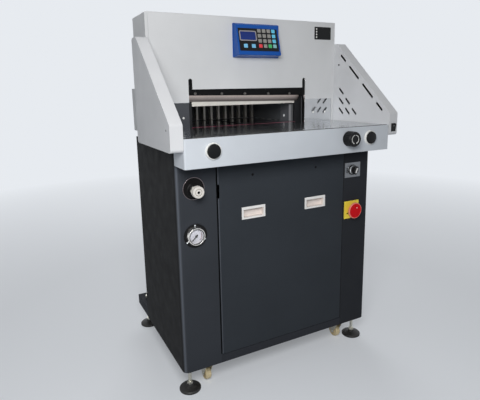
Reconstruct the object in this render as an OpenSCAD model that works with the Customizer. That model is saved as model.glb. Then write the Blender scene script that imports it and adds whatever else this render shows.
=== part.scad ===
// Hydraulic paper cutter: sheet-metal cabinet on levelling feet, polished table between two
// guard wings, upper housing with clamp and swinging knife, back gauge under a rear guard.
// Millimetres, +Z up, front faces -Y, origin under the middle of the machine on the floor.

/* [Cabinet] */
// Width of the cabinet, the apron and the upper housing
body_w = 800; // [760:5:860]
// Depth of the cabinet
cabinet_d = 445; // [420:5:470]
// Distance of the cabinet walls' top below the table's top
cabinet_drop = 36; // [32:1:46]
// Free height under the base
base_gap = 88; // [80:1:100]
// Height of the base frame
base_h = 40; // [30:1:50]
// Depth of the base frame
base_d = 604; // [580:2:640]
// Thickness of every steel sheet
sheet = 2; // [1.2:0.1:3]
// Outside radius of the cabinet's upright corners
corner_r = 20; // [10:1:26]
// Width of the left front column
left_column = 142; // [130:1:150]
// Width of the right front column
right_column = 129; // [125:1:140]
// Gap around the lift-off front panel
panel_gap = 2; // [1:0.5:4]
// Half distance between the two recessed grips
grip_x = 130; // [110:1:150]
// Distance of the grips below the apron
grip_drop = 187; // [117:5:257]
// Width of a grip's face
grip_w = 92; // [76:1:100]
// Height of a grip's face
grip_h = 43; // [36:1:50]

/* [Table] */
// Height of the table's top
table_z = 902; // [896:1:910]
// Thickness of the table
table_t = 25; // [22:1:30]
// Height of the apron under the table's edge
apron_h = 90; // [80:1:100]
// Overhang of the apron in front of the cabinet
apron_out = 91; // [70:1:100]
// Depth of the table in front of the housing
table_d = 323; // [300:1:350]
// Width beside the throat, out to the cabinet's side
side_bay = 170; // [160:1:180]
// Section of the cutting stick
stick = 10; // [8:1:12]

/* [Housing] */
// Height of the upper housing above the table
housing_rise = 398; // [388:1:418]
// Depth of the upper housing
housing_d = 157; // [150:1:170]
// Distance from the housing's front to the back of the rear guard
rear_d = 463; // [450:1:480]
// Underside of the front cover above the table
cover_gap = 93; // [90:1:100]
// Underside of the middle lip above the table
lip_gap = 140; // [132:1:150]
// Top of the two relief slots above the table
slot_gap = 178; // [168:1:188]
// Width of a relief slot
slot_w = 15; // [10:1:20]
// How far the cover's opening reaches over each side frame
opening_lap = 24; // [18:1:28]
// Distance of the rear guard from the housing's side
guard_in = 55; // [45:1:70]
// Height of the rear guard above the table
guard_rise = 148; // [130:1:160]

/* [Wings] */
// Thickness of a wing
wing_t = 40; // [36:1:46]
// Top of the wings above the table
wing_rise = 313; // [290:1:330]
// Height of the wings' front edge above the table
wing_nose = 42; // [30:1:60]
// How far the wings reach below the table
wing_drop = 39; // [30:1:45]
// Length of the level top of a wing
wing_crown = 52; // [40:1:70]
// How far a wing reaches behind the housing's front
wing_lap = 32; // [20:1:50]
// Radius of the wings' bent edges
wing_r = 10; // [5:1:16]

/* [Knife and clamp] */
// Thickness of a side frame
upright_t = 32; // [28:1:36]
// Depth of a side frame
upright_d = 110; // [100:1:115]
// How far the knife reaches over each side frame
knife_lap = 32; // [28:1:35]
// Height of the knife
knife_h = 90; // [80:1:92]
// Thickness of the knife
knife_t = 10; // [8:0.5:11]
// Thickness of the knife carrier
carrier_t = 18; // [16:0.5:20]
// Height of the knife carrier
carrier_h = 112; // [100:1:120]
// Bare steel below the carrier
knife_show = 23; // [18:1:28]
// Slope of the knife in its raised position, degrees
knife_tilt = 1; // [0.5:0.1:1.5]
// Downward travel of the knife at its pivot
knife_drop = 86; // [80:1:90]
// Sideways travel of the knife
knife_shift = 20; // [12:1:22]
// Clear height under the raised clamp
clamp_gap = 78; // [70:1:82]
// Height of the clamp beam
clamp_h = 134; // [125:1:145]
// Thickness of the clamp beam
clamp_t = 50; // [46:1:56]
// Least distance of a finger's middle from the side frame
finger_edge = 10; // [8:1:20]
// Distance between two fingers
finger_pitch = 36; // [28:1:36]
// Length of a finger
finger_l = 20; // [14:1:24]
// Height of the back gauge
gauge_h = 68; // [50:1:70]

/* [Controls] */
// Distance of the cut buttons from the apron's ends
button_in = 92; // [70:1:120]
// Diameter of a cut button's cap
button_d = 44; // [36:1:50]
// Distance of the dial knob from the apron's right end
dial_in = 193; // [170:1:250]
// Diameter of the dial knob
dial_d = 52; // [40:1:60]
// Length of the dial knob
dial_l = 40; // [30:1:46]
// Place of the control box's middle across the housing
control_x = 17; // [-60:1:60]
// Width of the control box
control_w = 178; // [150:1:220]
// Height of the control box
control_h = 120; // [110:1:130]
// Depth of the control box at its foot
control_foot = 50; // [40:1:60]
// Depth of the control box at its head
control_head = 22; // [15:1:30]
// Pressure gauge and regulator: distance from the cabinet's side
dials_in = 60; // [55:1:75]
// Distance of the pressure gauge below the apron
pressure_drop = 236; // [194:1:294]
// Diameter of the pressure gauge's flange
flange_d = 80; // [72:1:88]
// Diameter of the pressure gauge's bezel
bezel_d = 64; // [60:1:68]
// Distance of the pressure regulator below the apron
regulator_drop = 79; // [64:1:124]
// Hole around the pressure regulator
regulator_hole = 70; // [60:1:74]
// Distance of the regulator's axis below the hole's middle
regulator_sag = 4.5; // [0:0.5:6]
// Diameter of the regulator's knob
regulator_d = 39; // [36:1:46]
// Switches: distance from the cabinet's side
switch_in = 89; // [80:1:91]
// Distance of the main isolator below the apron
isolator_drop = 240; // [200:1:300]
// Distance of the selector switch below the apron
selector_drop = 83; // [68:1:128]

/* [Feet] */
// Diameter of a foot pad
pad_d = 76; // [64:1:80]
// Diameter of a foot's stem
stem_d = 12; // [10:1:16]
// Distance of the feet from the cabinet's side
foot_side = 32; // [28:1:46]
// Distance of the front feet behind the cabinet's front
foot_in = 40; // [36:1:60]
// Distance of the casters from the cabinet's side
caster_in = 104; // [100:1:140]
// Diameter of a caster wheel
wheel_d = 50; // [40:1:54]
// Width of a caster wheel
wheel_w = 20; // [16:1:24]

/* [Hidden] */
$fn = 64;
arc_steps = 6;
fit = 0.05;
touch = 0.4;

half_w = body_w / 2;
throat_w = body_w - 2 * side_bay;
opening_w = throat_w + 2 * opening_lap;
knife_l = throat_w + 2 * knife_lap;
guard_x = half_w - guard_in;
button_x = half_w - button_in;
dial_x = half_w - dial_in;
dials_x = half_w - dials_in;
switch_x = half_w - switch_in;
foot_x = half_w - foot_side;
caster_x = half_w - caster_in;
cabinet_top = table_z - cabinet_drop;
housing_z = table_z + housing_rise;
total_d = dial_l + table_d + rear_d;
y_apron = dial_l - total_d / 2;
y_house = y_apron + table_d;
y_guard = y_house + rear_d;
y_cab = y_apron + apron_out;
y_cab_back = y_cab + cabinet_d;
y_base_back = y_cab + base_d;
y_house_back = y_house + housing_d;
y_wing_back = y_house + wing_lap;
base_top = base_gap + base_h;
apron_z = table_z - apron_h;
grip_z = apron_z - grip_drop;
pressure_z = apron_z - pressure_drop;
regulator_z = apron_z - regulator_drop;
isolator_z = apron_z - isolator_drop;
selector_z = apron_z - selector_drop;
flange = 15;
bend_r = 4;
apron_r = 6;
guard_r = 8;
y_base = y_cab + sheet + touch;
tube = 40;
caster_plate = [80, 84];
left_in = half_w - left_column;
right_in = half_w - right_column;
panel = [panel_gap - left_in, right_in - panel_gap];
panel_mid = (panel[0] + panel[1]) / 2;
plinth_drop = 8;
plinth_top = base_top - plinth_drop;
panel_low = plinth_top + panel_gap;
lip_x = opening_w / 2 - slot_w;

// Depth stack of the cutting head, front to back
cover_plate_t = 5;
y_plate = y_house + sheet + 1;
y_carrier = y_plate + cover_plate_t + 2;
y_knife = y_carrier + carrier_t;
y_upright = y_knife + knife_t + 2;
y_clamp = y_upright + 1;
y_clamp_back = y_clamp + clamp_t;
y_upright_back = y_upright + upright_d;
y_rod = y_carrier + 14;

throat = throat_w / 2;
upright_x = throat + upright_t;
frame_gap = 15;
upright_top = housing_z - frame_gap;

// Cutting head: the knife level in the cut, then raised along its slanted guide
cut_gap = 0.4;
edge_z = table_z + cut_gap;
pivot_out = 28;
pivot_x = upright_x + pivot_out;
pivot_rise = 80;
pivot_z = edge_z + pivot_rise;
pivot_r = 9;
pivot_rest = [pivot_x - knife_shift, 0, pivot_z + knife_drop];
slide_angle = atan2(knife_shift, knife_drop);
roller_r = 8;
roller_x = throat + upright_t / 2;
roller_z = edge_z + knife_h + knife_drop + pivot_x * sin(knife_tilt) + 26;
carrier_top = edge_z + knife_show + carrier_h;

// Knife cylinder, measured along the slide from the raised pivot
link_l = 78;
knife_rod_r = 9;
cylinder_from = 222;
cylinder_l = 178;
knife_cylinder_r = 19;
rod_in = 20;

// Clamp rods and cylinders
clamp_z = table_z + clamp_gap;
clamp_travel = clamp_gap - 2;
arm_d = 24;
arm_h = 45;
arm_rise = 74;
arm_z = clamp_z + arm_rise;
arm_in = 17;
arm_y = y_clamp + arm_in;
clamp_rod_r = 10;
rod_out = 23;
clamp_rod_x = upright_x + rod_out;
clamp_rod_y = arm_y + arm_d / 2;
clamp_cylinder_r = 20;
cylinder_drop = 142;
clamp_cylinder_l = 200;
clamp_cylinder_z = [table_z - cylinder_drop - clamp_cylinder_l, table_z - cylinder_drop];
rod_end = 12;
clamp_rod_foot = clamp_cylinder_z[0] + clamp_travel + rod_end;

// Back gauge, its screw and its rails
rear_table_t = 20;
table_in = 8;
y_rear_table = y_guard - table_in;
beam_d = 44;
beam_lap = 12;
y_beam = y_upright - beam_d + beam_lap;
y_beam_back = y_beam + beam_d;
rail_r = 8;
rail_x = 60;
rail_drop = 57;
rail_z = table_z - rail_drop;
slot_half = 12;
bracket_t = 16;
y_bracket = y_rear_table - bracket_t - 1;
bar_t = 24;
carriage_t = 36;
bar_gap = 12;
y_bar = y_bracket - bar_gap - bar_t;
gauge_lift = 2;
gauge_z = table_z + gauge_lift;
gauge_play = 4;
gauge_half = throat - gauge_play;
finger_count = 2 * floor((throat - finger_edge) / finger_pitch) + 1;
motor_r = 30;
carriage_lap = 25;
carriage_half = rail_x + carriage_lap;
beam_h = 102;
y_stick = y_knife + knife_t;
bracket_z = table_z - cylinder_drop;
bracket_x = pivot_rest[0] + (pivot_rest[2] - bracket_z) * knife_shift / knife_drop + 8;

// Wings and control box
wing_low = table_z - wing_drop;
wing_top = table_z + wing_rise;
control_drop = 24;
control_top = housing_z - control_drop;
rocker_w = 22;
rocker_h = 30;
rocker_out = 2;
rocker_x = half_w + wing_t / 2 + rocker_out;
rocker_drop = 11;
rocker_z = table_z - rocker_drop;
button_lift = 4;
button_z = apron_z + apron_h / 2 + button_lift;
dial_lift = 3;
dial_z = button_z + dial_lift;
sleeve_r = 14;
dial_shaft_r = 5;
neck_r = 11;
needle_angle = -135;
caster_back = 45;
caster_y = y_cab + caster_back;
rear_caster_in = 67;
rear_caster_y = y_base_back - rear_caster_in;
rear_foot_in = 50;
foot_y = [y_cab + foot_in, y_base_back - rear_foot_in];
wheel_gap = 4;
axle_z = wheel_d / 2 + wheel_gap;
caster_trail = 16;
axle_r = 4;
king_r = 5;
king_l = 16;

light_grey = "#c9cdd2";
anthracite = "#3f4246";
black = "#1b1c1e";
steel = "#b9bcc0";
zinc = "#c6c4ba";
cream = "#e6e0cc";

// Basic solids
module block(lo, hi) translate(lo) cube(hi - lo);
module rod_x(r, x, y, z) translate([x[0], y, z]) rotate([0, 90, 0]) cylinder(r = r, h = x[1] - x[0]);
module rod_y(r, x, y, z) translate([x, y[1], z]) rotate([90, 0, 0]) cylinder(r = r, h = y[1] - y[0]);
module rod_z(r, x, y, z) translate([x, y, z[0]]) cylinder(r = r, h = z[1] - z[0]);
module extrude_x(x) translate([x[0], 0, 0]) rotate([90, 0, 90]) linear_extrude(x[1] - x[0]) children();
module extrude_y(y) translate([0, y[1], 0]) rotate([90, 0, 0]) linear_extrude(y[1] - y[0]) children();
module extrude_z(z) translate([0, 0, z[0]]) linear_extrude(z[1] - z[0]) children();
module turned_front(x, y, z) translate([x, y, z]) rotate([90, 0, 0]) rotate_extrude() children();
module both_sides() {
    children();
    mirror([1, 0, 0]) children();
}

// Bent sheet: a path with rounded bends, thickened to its left-hand side
function unit(v) = v / norm(v);
function left_of(v) = [-v[1], v[0]];
function bend(p0, p1, p2, r) =
    r <= 0 ? [p1] :
    let (a = unit(p0 - p1), b = unit(p2 - p1), half = acos(a * b) / 2,
         c = p1 + unit(a + b) * r / sin(half),
         s = p1 + a * r / tan(half) - c, e = p1 + b * r / tan(half) - c,
         from = atan2(s[1], s[0]), raw = atan2(e[1], e[0]) - from,
         sweep = raw > 180 ? raw - 360 : raw < -180 ? raw + 360 : raw)
    [for (i = [0 : arc_steps]) let (t = from + sweep * i / arc_steps) c + r * [cos(t), sin(t)]];
function round_path(p, r) = let (n = len(p))
    [for (i = [0 : n - 1]) each i == 0 || i == n - 1 ? [p[i]] :
        bend(p[i - 1], p[i], p[i + 1], is_list(r) ? r[i] : r)];
function round_loop(p, r) = let (n = len(p))
    [for (i = [0 : n - 1]) each bend(p[(i + n - 1) % n], p[i], p[(i + 1) % n], r)];
function side_path(p, t) = let (n = len(p), d = [for (i = [0 : n - 2]) left_of(unit(p[i + 1] - p[i]))])
    [for (i = [0 : n - 1]) i == 0 ? p[0] + d[0] * t : i == n - 1 ? p[i] + d[n - 2] * t :
        p[i] + (d[i - 1] + d[i]) * t / (1 + d[i - 1] * d[i])];
function side_loop(p, t) = let (n = len(p),
    d = [for (i = [0 : n - 1]) left_of(unit(p[(i + 1) % n] - p[i]))])
    [for (i = [0 : n - 1]) let (a = d[(i + n - 1) % n], b = d[i]) p[i] + (a + b) * t / (1 + a * b)];
function reversed(v) = [for (i = [len(v) - 1 : -1 : 0]) v[i]];
function inner(r) = is_list(r) ? [for (v = r) max(v - sheet, 0)] : max(r - sheet, 0);
module bent_sheet(path, r)
    polygon(concat(round_path(path, r), reversed(round_path(side_path(path, sheet), inner(r)))));
module bent_loop(path, r)
    difference() {
        polygon(round_loop(path, r));
        polygon(round_loop(side_loop(path, sheet), inner(r)));
    }
module slot_shape(a, b, r)
    translate(a) rotate(atan2(b[1] - a[1], b[0] - a[0])) union() {
        circle(r);
        translate([norm(b - a), 0]) circle(r);
        translate([0, -r]) square([norm(b - a), 2 * r]);
    }

// Base frame: floor plate on box tubes, with a plinth under the front panel and plates for the casters
module base_frame()
    color(anthracite) difference() {
        union() {
            block([sheet - half_w, y_base, base_top - 4], [half_w - sheet, y_base_back, base_top]);
            both_sides()
                block([half_w - sheet - tube, y_base, base_gap],
                    [half_w - sheet, y_base_back, base_top - 2]);
            for (y = [y_base, y_upright + 20, y_base_back - tube])
                block([sheet - half_w, y, base_gap], [half_w - sheet, y + tube, base_top - 2]);
            block([touch - left_in, y_cab, base_gap + 2], [right_in - touch, y_base + 1, plinth_top]);
            both_sides() for (y = [caster_y, rear_caster_y])
                block([caster_x - caster_plate[0] / 2, y - caster_plate[1] / 2, base_gap],
                    [caster_x + caster_plate[0] / 2, y + caster_plate[1] / 2, base_gap + king_l]);
        }
        both_sides() for (y = foot_y)
            rod_z(stem_d / 2 + fit, foot_x, y, [base_gap - 1, base_top + 1]);
        both_sides()
            block([half_w - corner_r, y_base - 1, base_gap - 1], [half_w, y_cab + corner_r, base_top + 1]);
        both_sides()
            rod_z(king_r + fit, caster_x, caster_y, [base_gap - 1, base_gap + king_l + 1]);
    }

// Cabinet walls: side wall, rounded corner and front column bent from one sheet
module cabinet_wall(inner_x) {
    extrude_z([base_gap + 2, cabinet_top])
        bent_sheet([[inner_x, y_cab], [half_w, y_cab], [half_w, y_cab_back]], corner_r);
    extrude_z([base_top + touch, cabinet_top])
        bent_sheet([[inner_x, y_cab + flange], [inner_x, y_cab], [half_w, y_cab],
            [half_w, y_cab_back], [half_w - flange, y_cab_back]], [0, bend_r, corner_r, bend_r, 0]);
}
module left_cabinet_panel()
    color(anthracite) difference() {
        mirror([1, 0, 0]) cabinet_wall(left_in);
        rod_y(regulator_hole / 2, -dials_x, [y_cab - 1, y_cab + flange], regulator_z);
        rod_y(can_r + 1, -dials_x, [y_cab - 1, y_cab + flange], pressure_z);
    }
module right_cabinet_panel()
    color(anthracite) difference() {
        cabinet_wall(right_in);
        for (z = [selector_z, isolator_z])
            rod_y(neck_r + 0.5, switch_x, [y_cab - 1, y_cab + flange], z);
    }

// Rear wall with two fields of air slots and the cable gland
louvre = [90, 6];
louvre_rows = 9;
louvre_step = 22;
gland_x = 300;
gland_z = 220;
gland_r = 11;
module rear_cabinet_panel()
    color(anthracite) difference() {
        union() {
            block([flange + 0.5 - half_w, y_cab_back - sheet, base_top],
                [half_w - flange - 0.5, y_cab_back, cabinet_top]);
            rod_y(gland_r, gland_x, [y_cab_back, y_cab_back + 16], gland_z);
            rod_y(gland_r + 4, gland_x, [y_cab_back, y_cab_back + 6], gland_z, $fn = 6);
        }
        rod_y(gland_r - 4, gland_x, [y_cab_back - sheet - 1, y_cab_back + 17], gland_z);
        block([-carriage_half - 12, y_cab_back - sheet - 1, rail_z - 32],
            [carriage_half + 12, y_cab_back + 1, cabinet_top + 1]);
        both_sides() for (i = [0 : louvre_rows - 1])
            extrude_y([y_cab_back - sheet - 1, y_cab_back + 1])
                let (z = cabinet_top - 120 - i * louvre_step)
                slot_shape([190 - louvre[0] / 2, z], [190 + louvre[0] / 2, z], louvre[1] / 2);
    }

// Cast table: wide in front, narrow between the side frames, with beam and ribs underneath
rib_x = 150;
rib_t = 12;
module front_table()
    color(steel) difference() {
        union() {
            extrude_z([table_z - table_t, table_z])
                polygon(round_loop([[sheet - half_w, y_apron + sheet], [half_w - sheet, y_apron + sheet],
                    [half_w - sheet, y_carrier - 1.5], [sheet - half_w, y_carrier - 1.5]], apron_r));
            block([-throat, y_carrier - 4, table_z - table_t], [throat, y_upright_back, table_z]);
            block([-throat, y_beam, table_z - beam_h], [throat, y_beam_back, table_z - table_t + 1]);
            both_sides() extrude_x([rib_x, rib_x + rib_t])
                polygon([[y_apron + 40, table_z - table_t + 1], [y_apron + 40, table_z - table_t - 12],
                    [y_beam + 1, table_z - beam_h], [y_beam + 1, table_z - table_t + 1]]);
        }
        block([-throat - 1, y_stick - stick / 2, table_z - stick],
            [throat + 1, y_stick + stick / 2, table_z + 1]);
        block([-slot_half, y_clamp_back - 8, table_z - table_t - 1],
            [slot_half, y_upright_back + 1, table_z + 1]);
        rail_bores([y_beam_back - 12, y_beam_back + 1]);
        rod_y(rail_r + fit, 0, [y_beam - 1, y_beam_back + 1], rail_z);
    }
module rail_bores(y) {
    both_sides() rod_y(rail_r + fit, rail_x, y, rail_z);
    rod_y(rail_r + fit, 0, y, rail_z);
}
module cutting_stick()
    color("#c22a3a") block([1 - throat, y_stick - stick / 2, table_z - stick],
        [throat - 1, y_stick + stick / 2, table_z]);

// Rear table with the carriage slot, the side lays and the rear bearing bracket
lay_t = 10;
lay_h = 70;
bracket_drop = 25;
module rear_table()
    color(steel) difference() {
        union() {
            block([sheet - guard_x, y_upright_back, table_z - rear_table_t],
                [guard_x - sheet, y_rear_table, table_z]);
            both_sides()
                block([throat, y_upright_back, table_z - 1],
                    [throat + lay_t, y_rear_table, table_z + lay_h]);
            block([-carriage_half, y_bracket, rail_z - bracket_drop],
                [carriage_half, y_bracket + bracket_t, table_z - rear_table_t + 1]);
        }
        block([-slot_half, y_upright_back - 1, table_z - rear_table_t - 1],
            [slot_half, y_bracket - 1, table_z + 1]);
        rail_bores([y_bracket - 1, y_bracket + bracket_t + 1]);
    }
module gauge_rails()
    color(steel) both_sides()
        rod_y(rail_r, rail_x, [y_beam_back - 11, y_bracket + bracket_t], rail_z);

// Apron: one bent sheet under the table's edge, with a bottom flange
module front_apron()
    color(light_grey) difference() {
        union() {
            extrude_z([apron_z, table_z])
                bent_sheet([[-half_w, y_cab], [-half_w, y_apron], [half_w, y_apron],
                    [half_w, y_cab]], apron_r);
            extrude_z([apron_z, apron_z + sheet])
                polygon(round_path([[-half_w, y_cab], [-half_w, y_apron], [half_w, y_apron],
                    [half_w, y_cab]], apron_r));
        }
        both_sides() rod_y(sleeve_r + fit, button_x, [y_apron - 1, y_apron + 10], button_z);
        rod_y(dial_shaft_r + fit, dial_x, [y_apron - 1, y_apron + 10], dial_z);
    }

// Side frames with the window that the clamp's arms run in
hollow_r = 46;
hollow_step = 130;
window = 6;
module side_frame()
    difference() {
        block([throat, y_upright, base_top], [upright_x, y_upright_back, upright_top]);
        block([throat - 1, arm_y - window, clamp_z - window],
            [upright_x + 1, arm_y + arm_d + window, arm_z + arm_h + 2 * window + 1]);
        for (i = [1, 2])
            rod_x(hollow_r, [throat - 1, upright_x + 1], (y_upright + y_upright_back) / 2,
                base_top + i * hollow_step);
    }
module right_upright() color(steel) side_frame();
module left_upright()
    color(steel) union() {
        mirror([1, 0, 0]) side_frame();
        rod_y(roller_r, -roller_x, [y_carrier, y_upright + 1], roller_z);
    }
beam_wall = 8;
cross_h = 110;
module cross_beam()
    color(anthracite) difference() {
        block([-throat, y_clamp + 15, upright_top - cross_h], [throat, y_upright_back - 5, upright_top]);
        block([-throat - 1, y_clamp + 15 + beam_wall, upright_top - cross_h + beam_wall],
            [throat + 1, y_upright_back - 5 - beam_wall, upright_top - beam_wall]);
    }
module guide_covers()
    color(steel) both_sides() {
        block([opening_w / 2, y_plate, table_z],
            [half_w - sheet - 1, y_plate + cover_plate_t, upright_top]);
        block([opening_w / 2, y_plate, upright_top - 50], [upright_x, y_upright, upright_top - 5]);
    }

// Upper housing: front cover with folded lip, bent shell and rear cover
hem = 10;
lip_fold = 7;
module front_cover()
    color(light_grey) union() {
        extrude_y([y_house, y_house + sheet]) difference() {
            translate([hem + 0.5 - half_w, table_z + cover_gap])
                square([body_w - 2 * hem - 1, housing_z - sheet - table_z - cover_gap]);
            translate([-lip_x, table_z]) square([2 * lip_x, lip_gap]);
            for (s = [-1, 1])
                slot_shape([s * (lip_x + slot_w / 2), table_z],
                    [s * (lip_x + slot_w / 2), table_z + slot_gap - slot_w / 2], slot_w / 2);
        }
        block([-lip_x, y_house, table_z + lip_gap], [lip_x, y_house + lip_fold, table_z + lip_gap + sheet]);
    }
module housing_shell()
    color(light_grey) union() {
        extrude_y([y_house, y_house_back])
            bent_sheet([[half_w, cabinet_top], [half_w, housing_z], [-half_w, housing_z],
                [-half_w, cabinet_top]], bend_r);
        both_sides()
            block([half_w - hem, y_house, table_z + touch],
                [half_w - sheet / 2, y_house + sheet, housing_z - sheet / 2]);
    }
module rear_cover()
    color(light_grey) difference() {
        extrude_y([y_house_back - sheet, y_house_back])
            let (x = half_w - sheet, top = housing_z - sheet, cut = bend_r - sheet)
            polygon([[-x, cabinet_top], [-x, top - cut], [cut - x, top], [x - cut, top],
                [x, top - cut], [x, cabinet_top]]);
        block([sheet - guard_x, y_house_back - sheet - 1, cabinet_top - 1],
            [guard_x - sheet, y_house_back + 1, table_z + guard_rise - sheet]);
    }
module rear_guard()
    color(light_grey) {
        outline = [[guard_x, y_house_back], [guard_x, y_guard], [-guard_x, y_guard],
            [-guard_x, y_house_back]];
        extrude_z([table_z - 32, table_z + guard_rise]) bent_sheet(outline, guard_r);
        extrude_z([table_z + guard_rise - sheet, table_z + guard_rise])
            polygon(round_path(outline, guard_r));
    }

// Guard wings: hollow boxes of bent sheet whose inner cheek has slanted slots
crown_y = y_wing_back - wing_crown;
slope_top = [crown_y, wing_top];
slope_foot = [y_apron, table_z + wing_nose];
slope = unit(slope_foot - slope_top);
wing_outline = [[y_apron, wing_low], [y_wing_back, wing_low],
    [y_wing_back, wing_top], slope_top, slope_foot];
edge_slots = [[51, 85], [122, 191], [228, 299], [333, 369]];
edge_inset = 19;
slot_r = 4.5;
field_step = 40;
field_l = 28;
field_from = [y_house - 41, table_z + 131];
module wing_slots() {
    for (s = edge_slots)
        let (base = slope_top + left_of(slope) * edge_inset)
        slot_shape(base + slope * s[0], base + slope * s[1], slot_r);
    for (row = [0 : 2], i = [0 : row])
        let (at = field_from - [i * field_step, row * field_step])
        slot_shape(at, at + slope * field_l, slot_r);
}
module wing() {
    extrude_x([half_w, half_w + wing_t]) bent_loop(wing_outline, wing_r);
    extrude_x([half_w + wing_t - sheet, half_w + wing_t]) polygon(round_loop(wing_outline, wing_r));
    extrude_x([half_w, half_w + sheet]) difference() {
        polygon(round_loop(wing_outline, wing_r));
        wing_slots();
    }
}
module left_wing() color(light_grey) mirror([1, 0, 0]) wing();

// Rocker of the lamp switch: two sloped halves, its pins held in lugs behind the wing's front
rocker_half = rocker_w / 2 - touch;
rocker_pin_r = 2;
rocker_pin_y = y_apron + sheet + 3;
lug_t = 4;
lug_d = 8;
module right_wing()
    color(light_grey) difference() {
        union() {
            wing();
            for (s = [-1, 1])
                let (x = rocker_x + s * (rocker_w + lug_t) / 2)
                block([x - lug_t / 2, y_apron + sheet / 2, rocker_z - lug_d / 2],
                    [x + lug_t / 2, rocker_pin_y + lug_d / 2, rocker_z + lug_d / 2]);
        }
        block([rocker_x - rocker_w / 2, y_apron - 1, rocker_z - rocker_h / 2],
            [rocker_x + rocker_w / 2, y_apron + sheet + 1, rocker_z + rocker_h / 2]);
        rod_x(rocker_pin_r + fit, [rocker_x - rocker_w, rocker_x + rocker_w], rocker_pin_y, rocker_z);
    }
module rocker()
    color(black) union() {
        let (h = rocker_h / 2 - 2)
        extrude_x([rocker_x - rocker_half, rocker_x + rocker_half])
            polygon([[y_apron - 4, rocker_z + h], [y_apron - 2, rocker_z], [y_apron - 0.5, rocker_z - h],
                [rocker_pin_y, rocker_z - h + 2], [rocker_pin_y + 4, rocker_z],
                [rocker_pin_y, rocker_z + h - 2]]);
        rod_x(rocker_pin_r, [rocker_x - rocker_half - lug_t, rocker_x + rocker_half + lug_t],
            rocker_pin_y, rocker_z);
    }

// Control box: wedge with a sloped face and an inlaid key plate
control_low = control_top - control_h;
face_tilt = atan2(control_foot - control_head, control_h - 10);
face_l = norm([control_foot - control_head, control_h - 10]);
face_inset = [6, 15, 14];
face_t = 1.5;
module on_control_slope()
    translate([0, y_house - control_foot, control_low + 6]) rotate([-face_tilt, 0, 0]) children();
module face_block(y)
    on_control_slope() block([control_x - control_w / 2 + face_inset[0], y[0], face_inset[1]],
        [control_x + control_w / 2 - face_inset[0], y[1], face_l - face_inset[2]]);
control_wall = 3;
control_outline = [[y_house - control_foot, control_low + 6], [y_house, control_low],
    [y_house, control_top], [y_house - control_head, control_top - 4]];
module control_box()
    color("#1d4fae") difference() {
        extrude_x([control_x - control_w / 2, control_x + control_w / 2])
            polygon(round_loop(control_outline, 3));
        extrude_x([control_x - control_w / 2 + control_wall, control_x + control_w / 2 - control_wall])
            translate([control_wall + 0.5, 0]) polygon(side_loop(control_outline, control_wall));
        face_block([-1, face_t]);
    }
module control_face() color(black) face_block([-0.4, face_t]);

// Pressure gauge: flanged case, polished bezel, window and needle
can_r = 29;
dial_r = 27;
needle_l = 21;
needle_pin_r = 1.5;
y_needle = y_cab - 7;
module gauge_case()
    color(black) {
        turned_front(-dials_x, y_cab, pressure_z)
            polygon([[0, -60], [7, -60], [7, -38], [can_r, -38], [can_r, 0], [flange_d / 2, 0],
                [flange_d / 2, 2], [dial_r, 2], [dial_r, 3], [0, 3]]);
        rod_y(needle_pin_r, -dials_x, [y_needle - 2, y_cab - 2], pressure_z);
    }
module gauge_bezel()
    color("#d6d8da") turned_front(-dials_x, y_cab, pressure_z)
        polygon([[bezel_d / 2, 2], [bezel_d / 2, 5], [bezel_d / 2 - 1, 8], [dial_r + 2.5, 12.5],
            [dial_r + 1.5, 14], [dial_r - 1, 14], [dial_r - 1, 12.5], [dial_r + 0.5, 12.5],
            [dial_r + 0.5, 2]]);
module gauge_glass()
    color("#dfe8ee") rod_y(dial_r + 0.4, -dials_x, [y_cab - 12.5, y_cab - 11], pressure_z);
module gauge_needle()
    color(black) difference() {
        translate([-dials_x, y_needle, pressure_z]) rotate([0, needle_angle, 0]) {
            rod_y(3.5, 0, [-1, 1], 0);
            extrude_y([-0.5, 0.5]) polygon([[-1.6, -7], [1.6, -7], [0.5, needle_l], [-0.5, needle_l]]);
        }
        rod_y(needle_pin_r + fit, -dials_x, [y_needle - 3, y_needle + 3], pressure_z);
    }

// Pressure regulator behind its round hole
regulator_plate = dials_in - corner_r - 1;
axis_z = regulator_z - regulator_sag;
spindle_r = 5;
spindle_in = 8;
knob_gap = 27;
knob_l = 18;
knob_grips = 24;
module regulator_body()
    color("#3a3335") {
        block([-dials_x - regulator_plate, y_cab + sheet, regulator_z - regulator_plate],
            [-dials_x + regulator_plate, y_cab + sheet + 3, regulator_z + regulator_plate]);
        turned_front(-dials_x, y_cab, axis_z)
            polygon([[0, -66], [26, -66], [26, -4], [18, 0], [18, 8], [12, 11], [12, knob_gap - 1],
                [spindle_r, knob_gap - 1], [spindle_r, knob_gap + spindle_in], [0, knob_gap + spindle_in]]);
    }
module regulator_knob()
    color(cream) difference() {
        turned_front(-dials_x, y_cab - knob_gap, axis_z)
            let (r = regulator_d / 2)
            polygon([[0, 0], [r - 2, 0], [r, 2], [r - 0.5, knob_l - 2], [r - 2.5, knob_l],
                [0.62 * r, knob_l], [0.62 * r - 0.8, knob_l - 1], [0.5 * r, knob_l - 1],
                [0.5 * r - 0.8, knob_l], [4.6, knob_l], [4.2, knob_l - 6], [0, knob_l - 6]]);
        rod_y(spindle_r + fit, -dials_x,
            [y_cab - knob_gap - spindle_in - 1, y_cab - knob_gap + 1], axis_z);
        for (i = [0 : knob_grips - 1])
            translate([-dials_x, y_cab - knob_gap - 4, axis_z]) rotate([90, i * 360 / knob_grips, 0])
                translate([regulator_d / 2 + 0.8, 0, 0]) cylinder(r = 1.8, h = knob_l - 8);
    }

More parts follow.
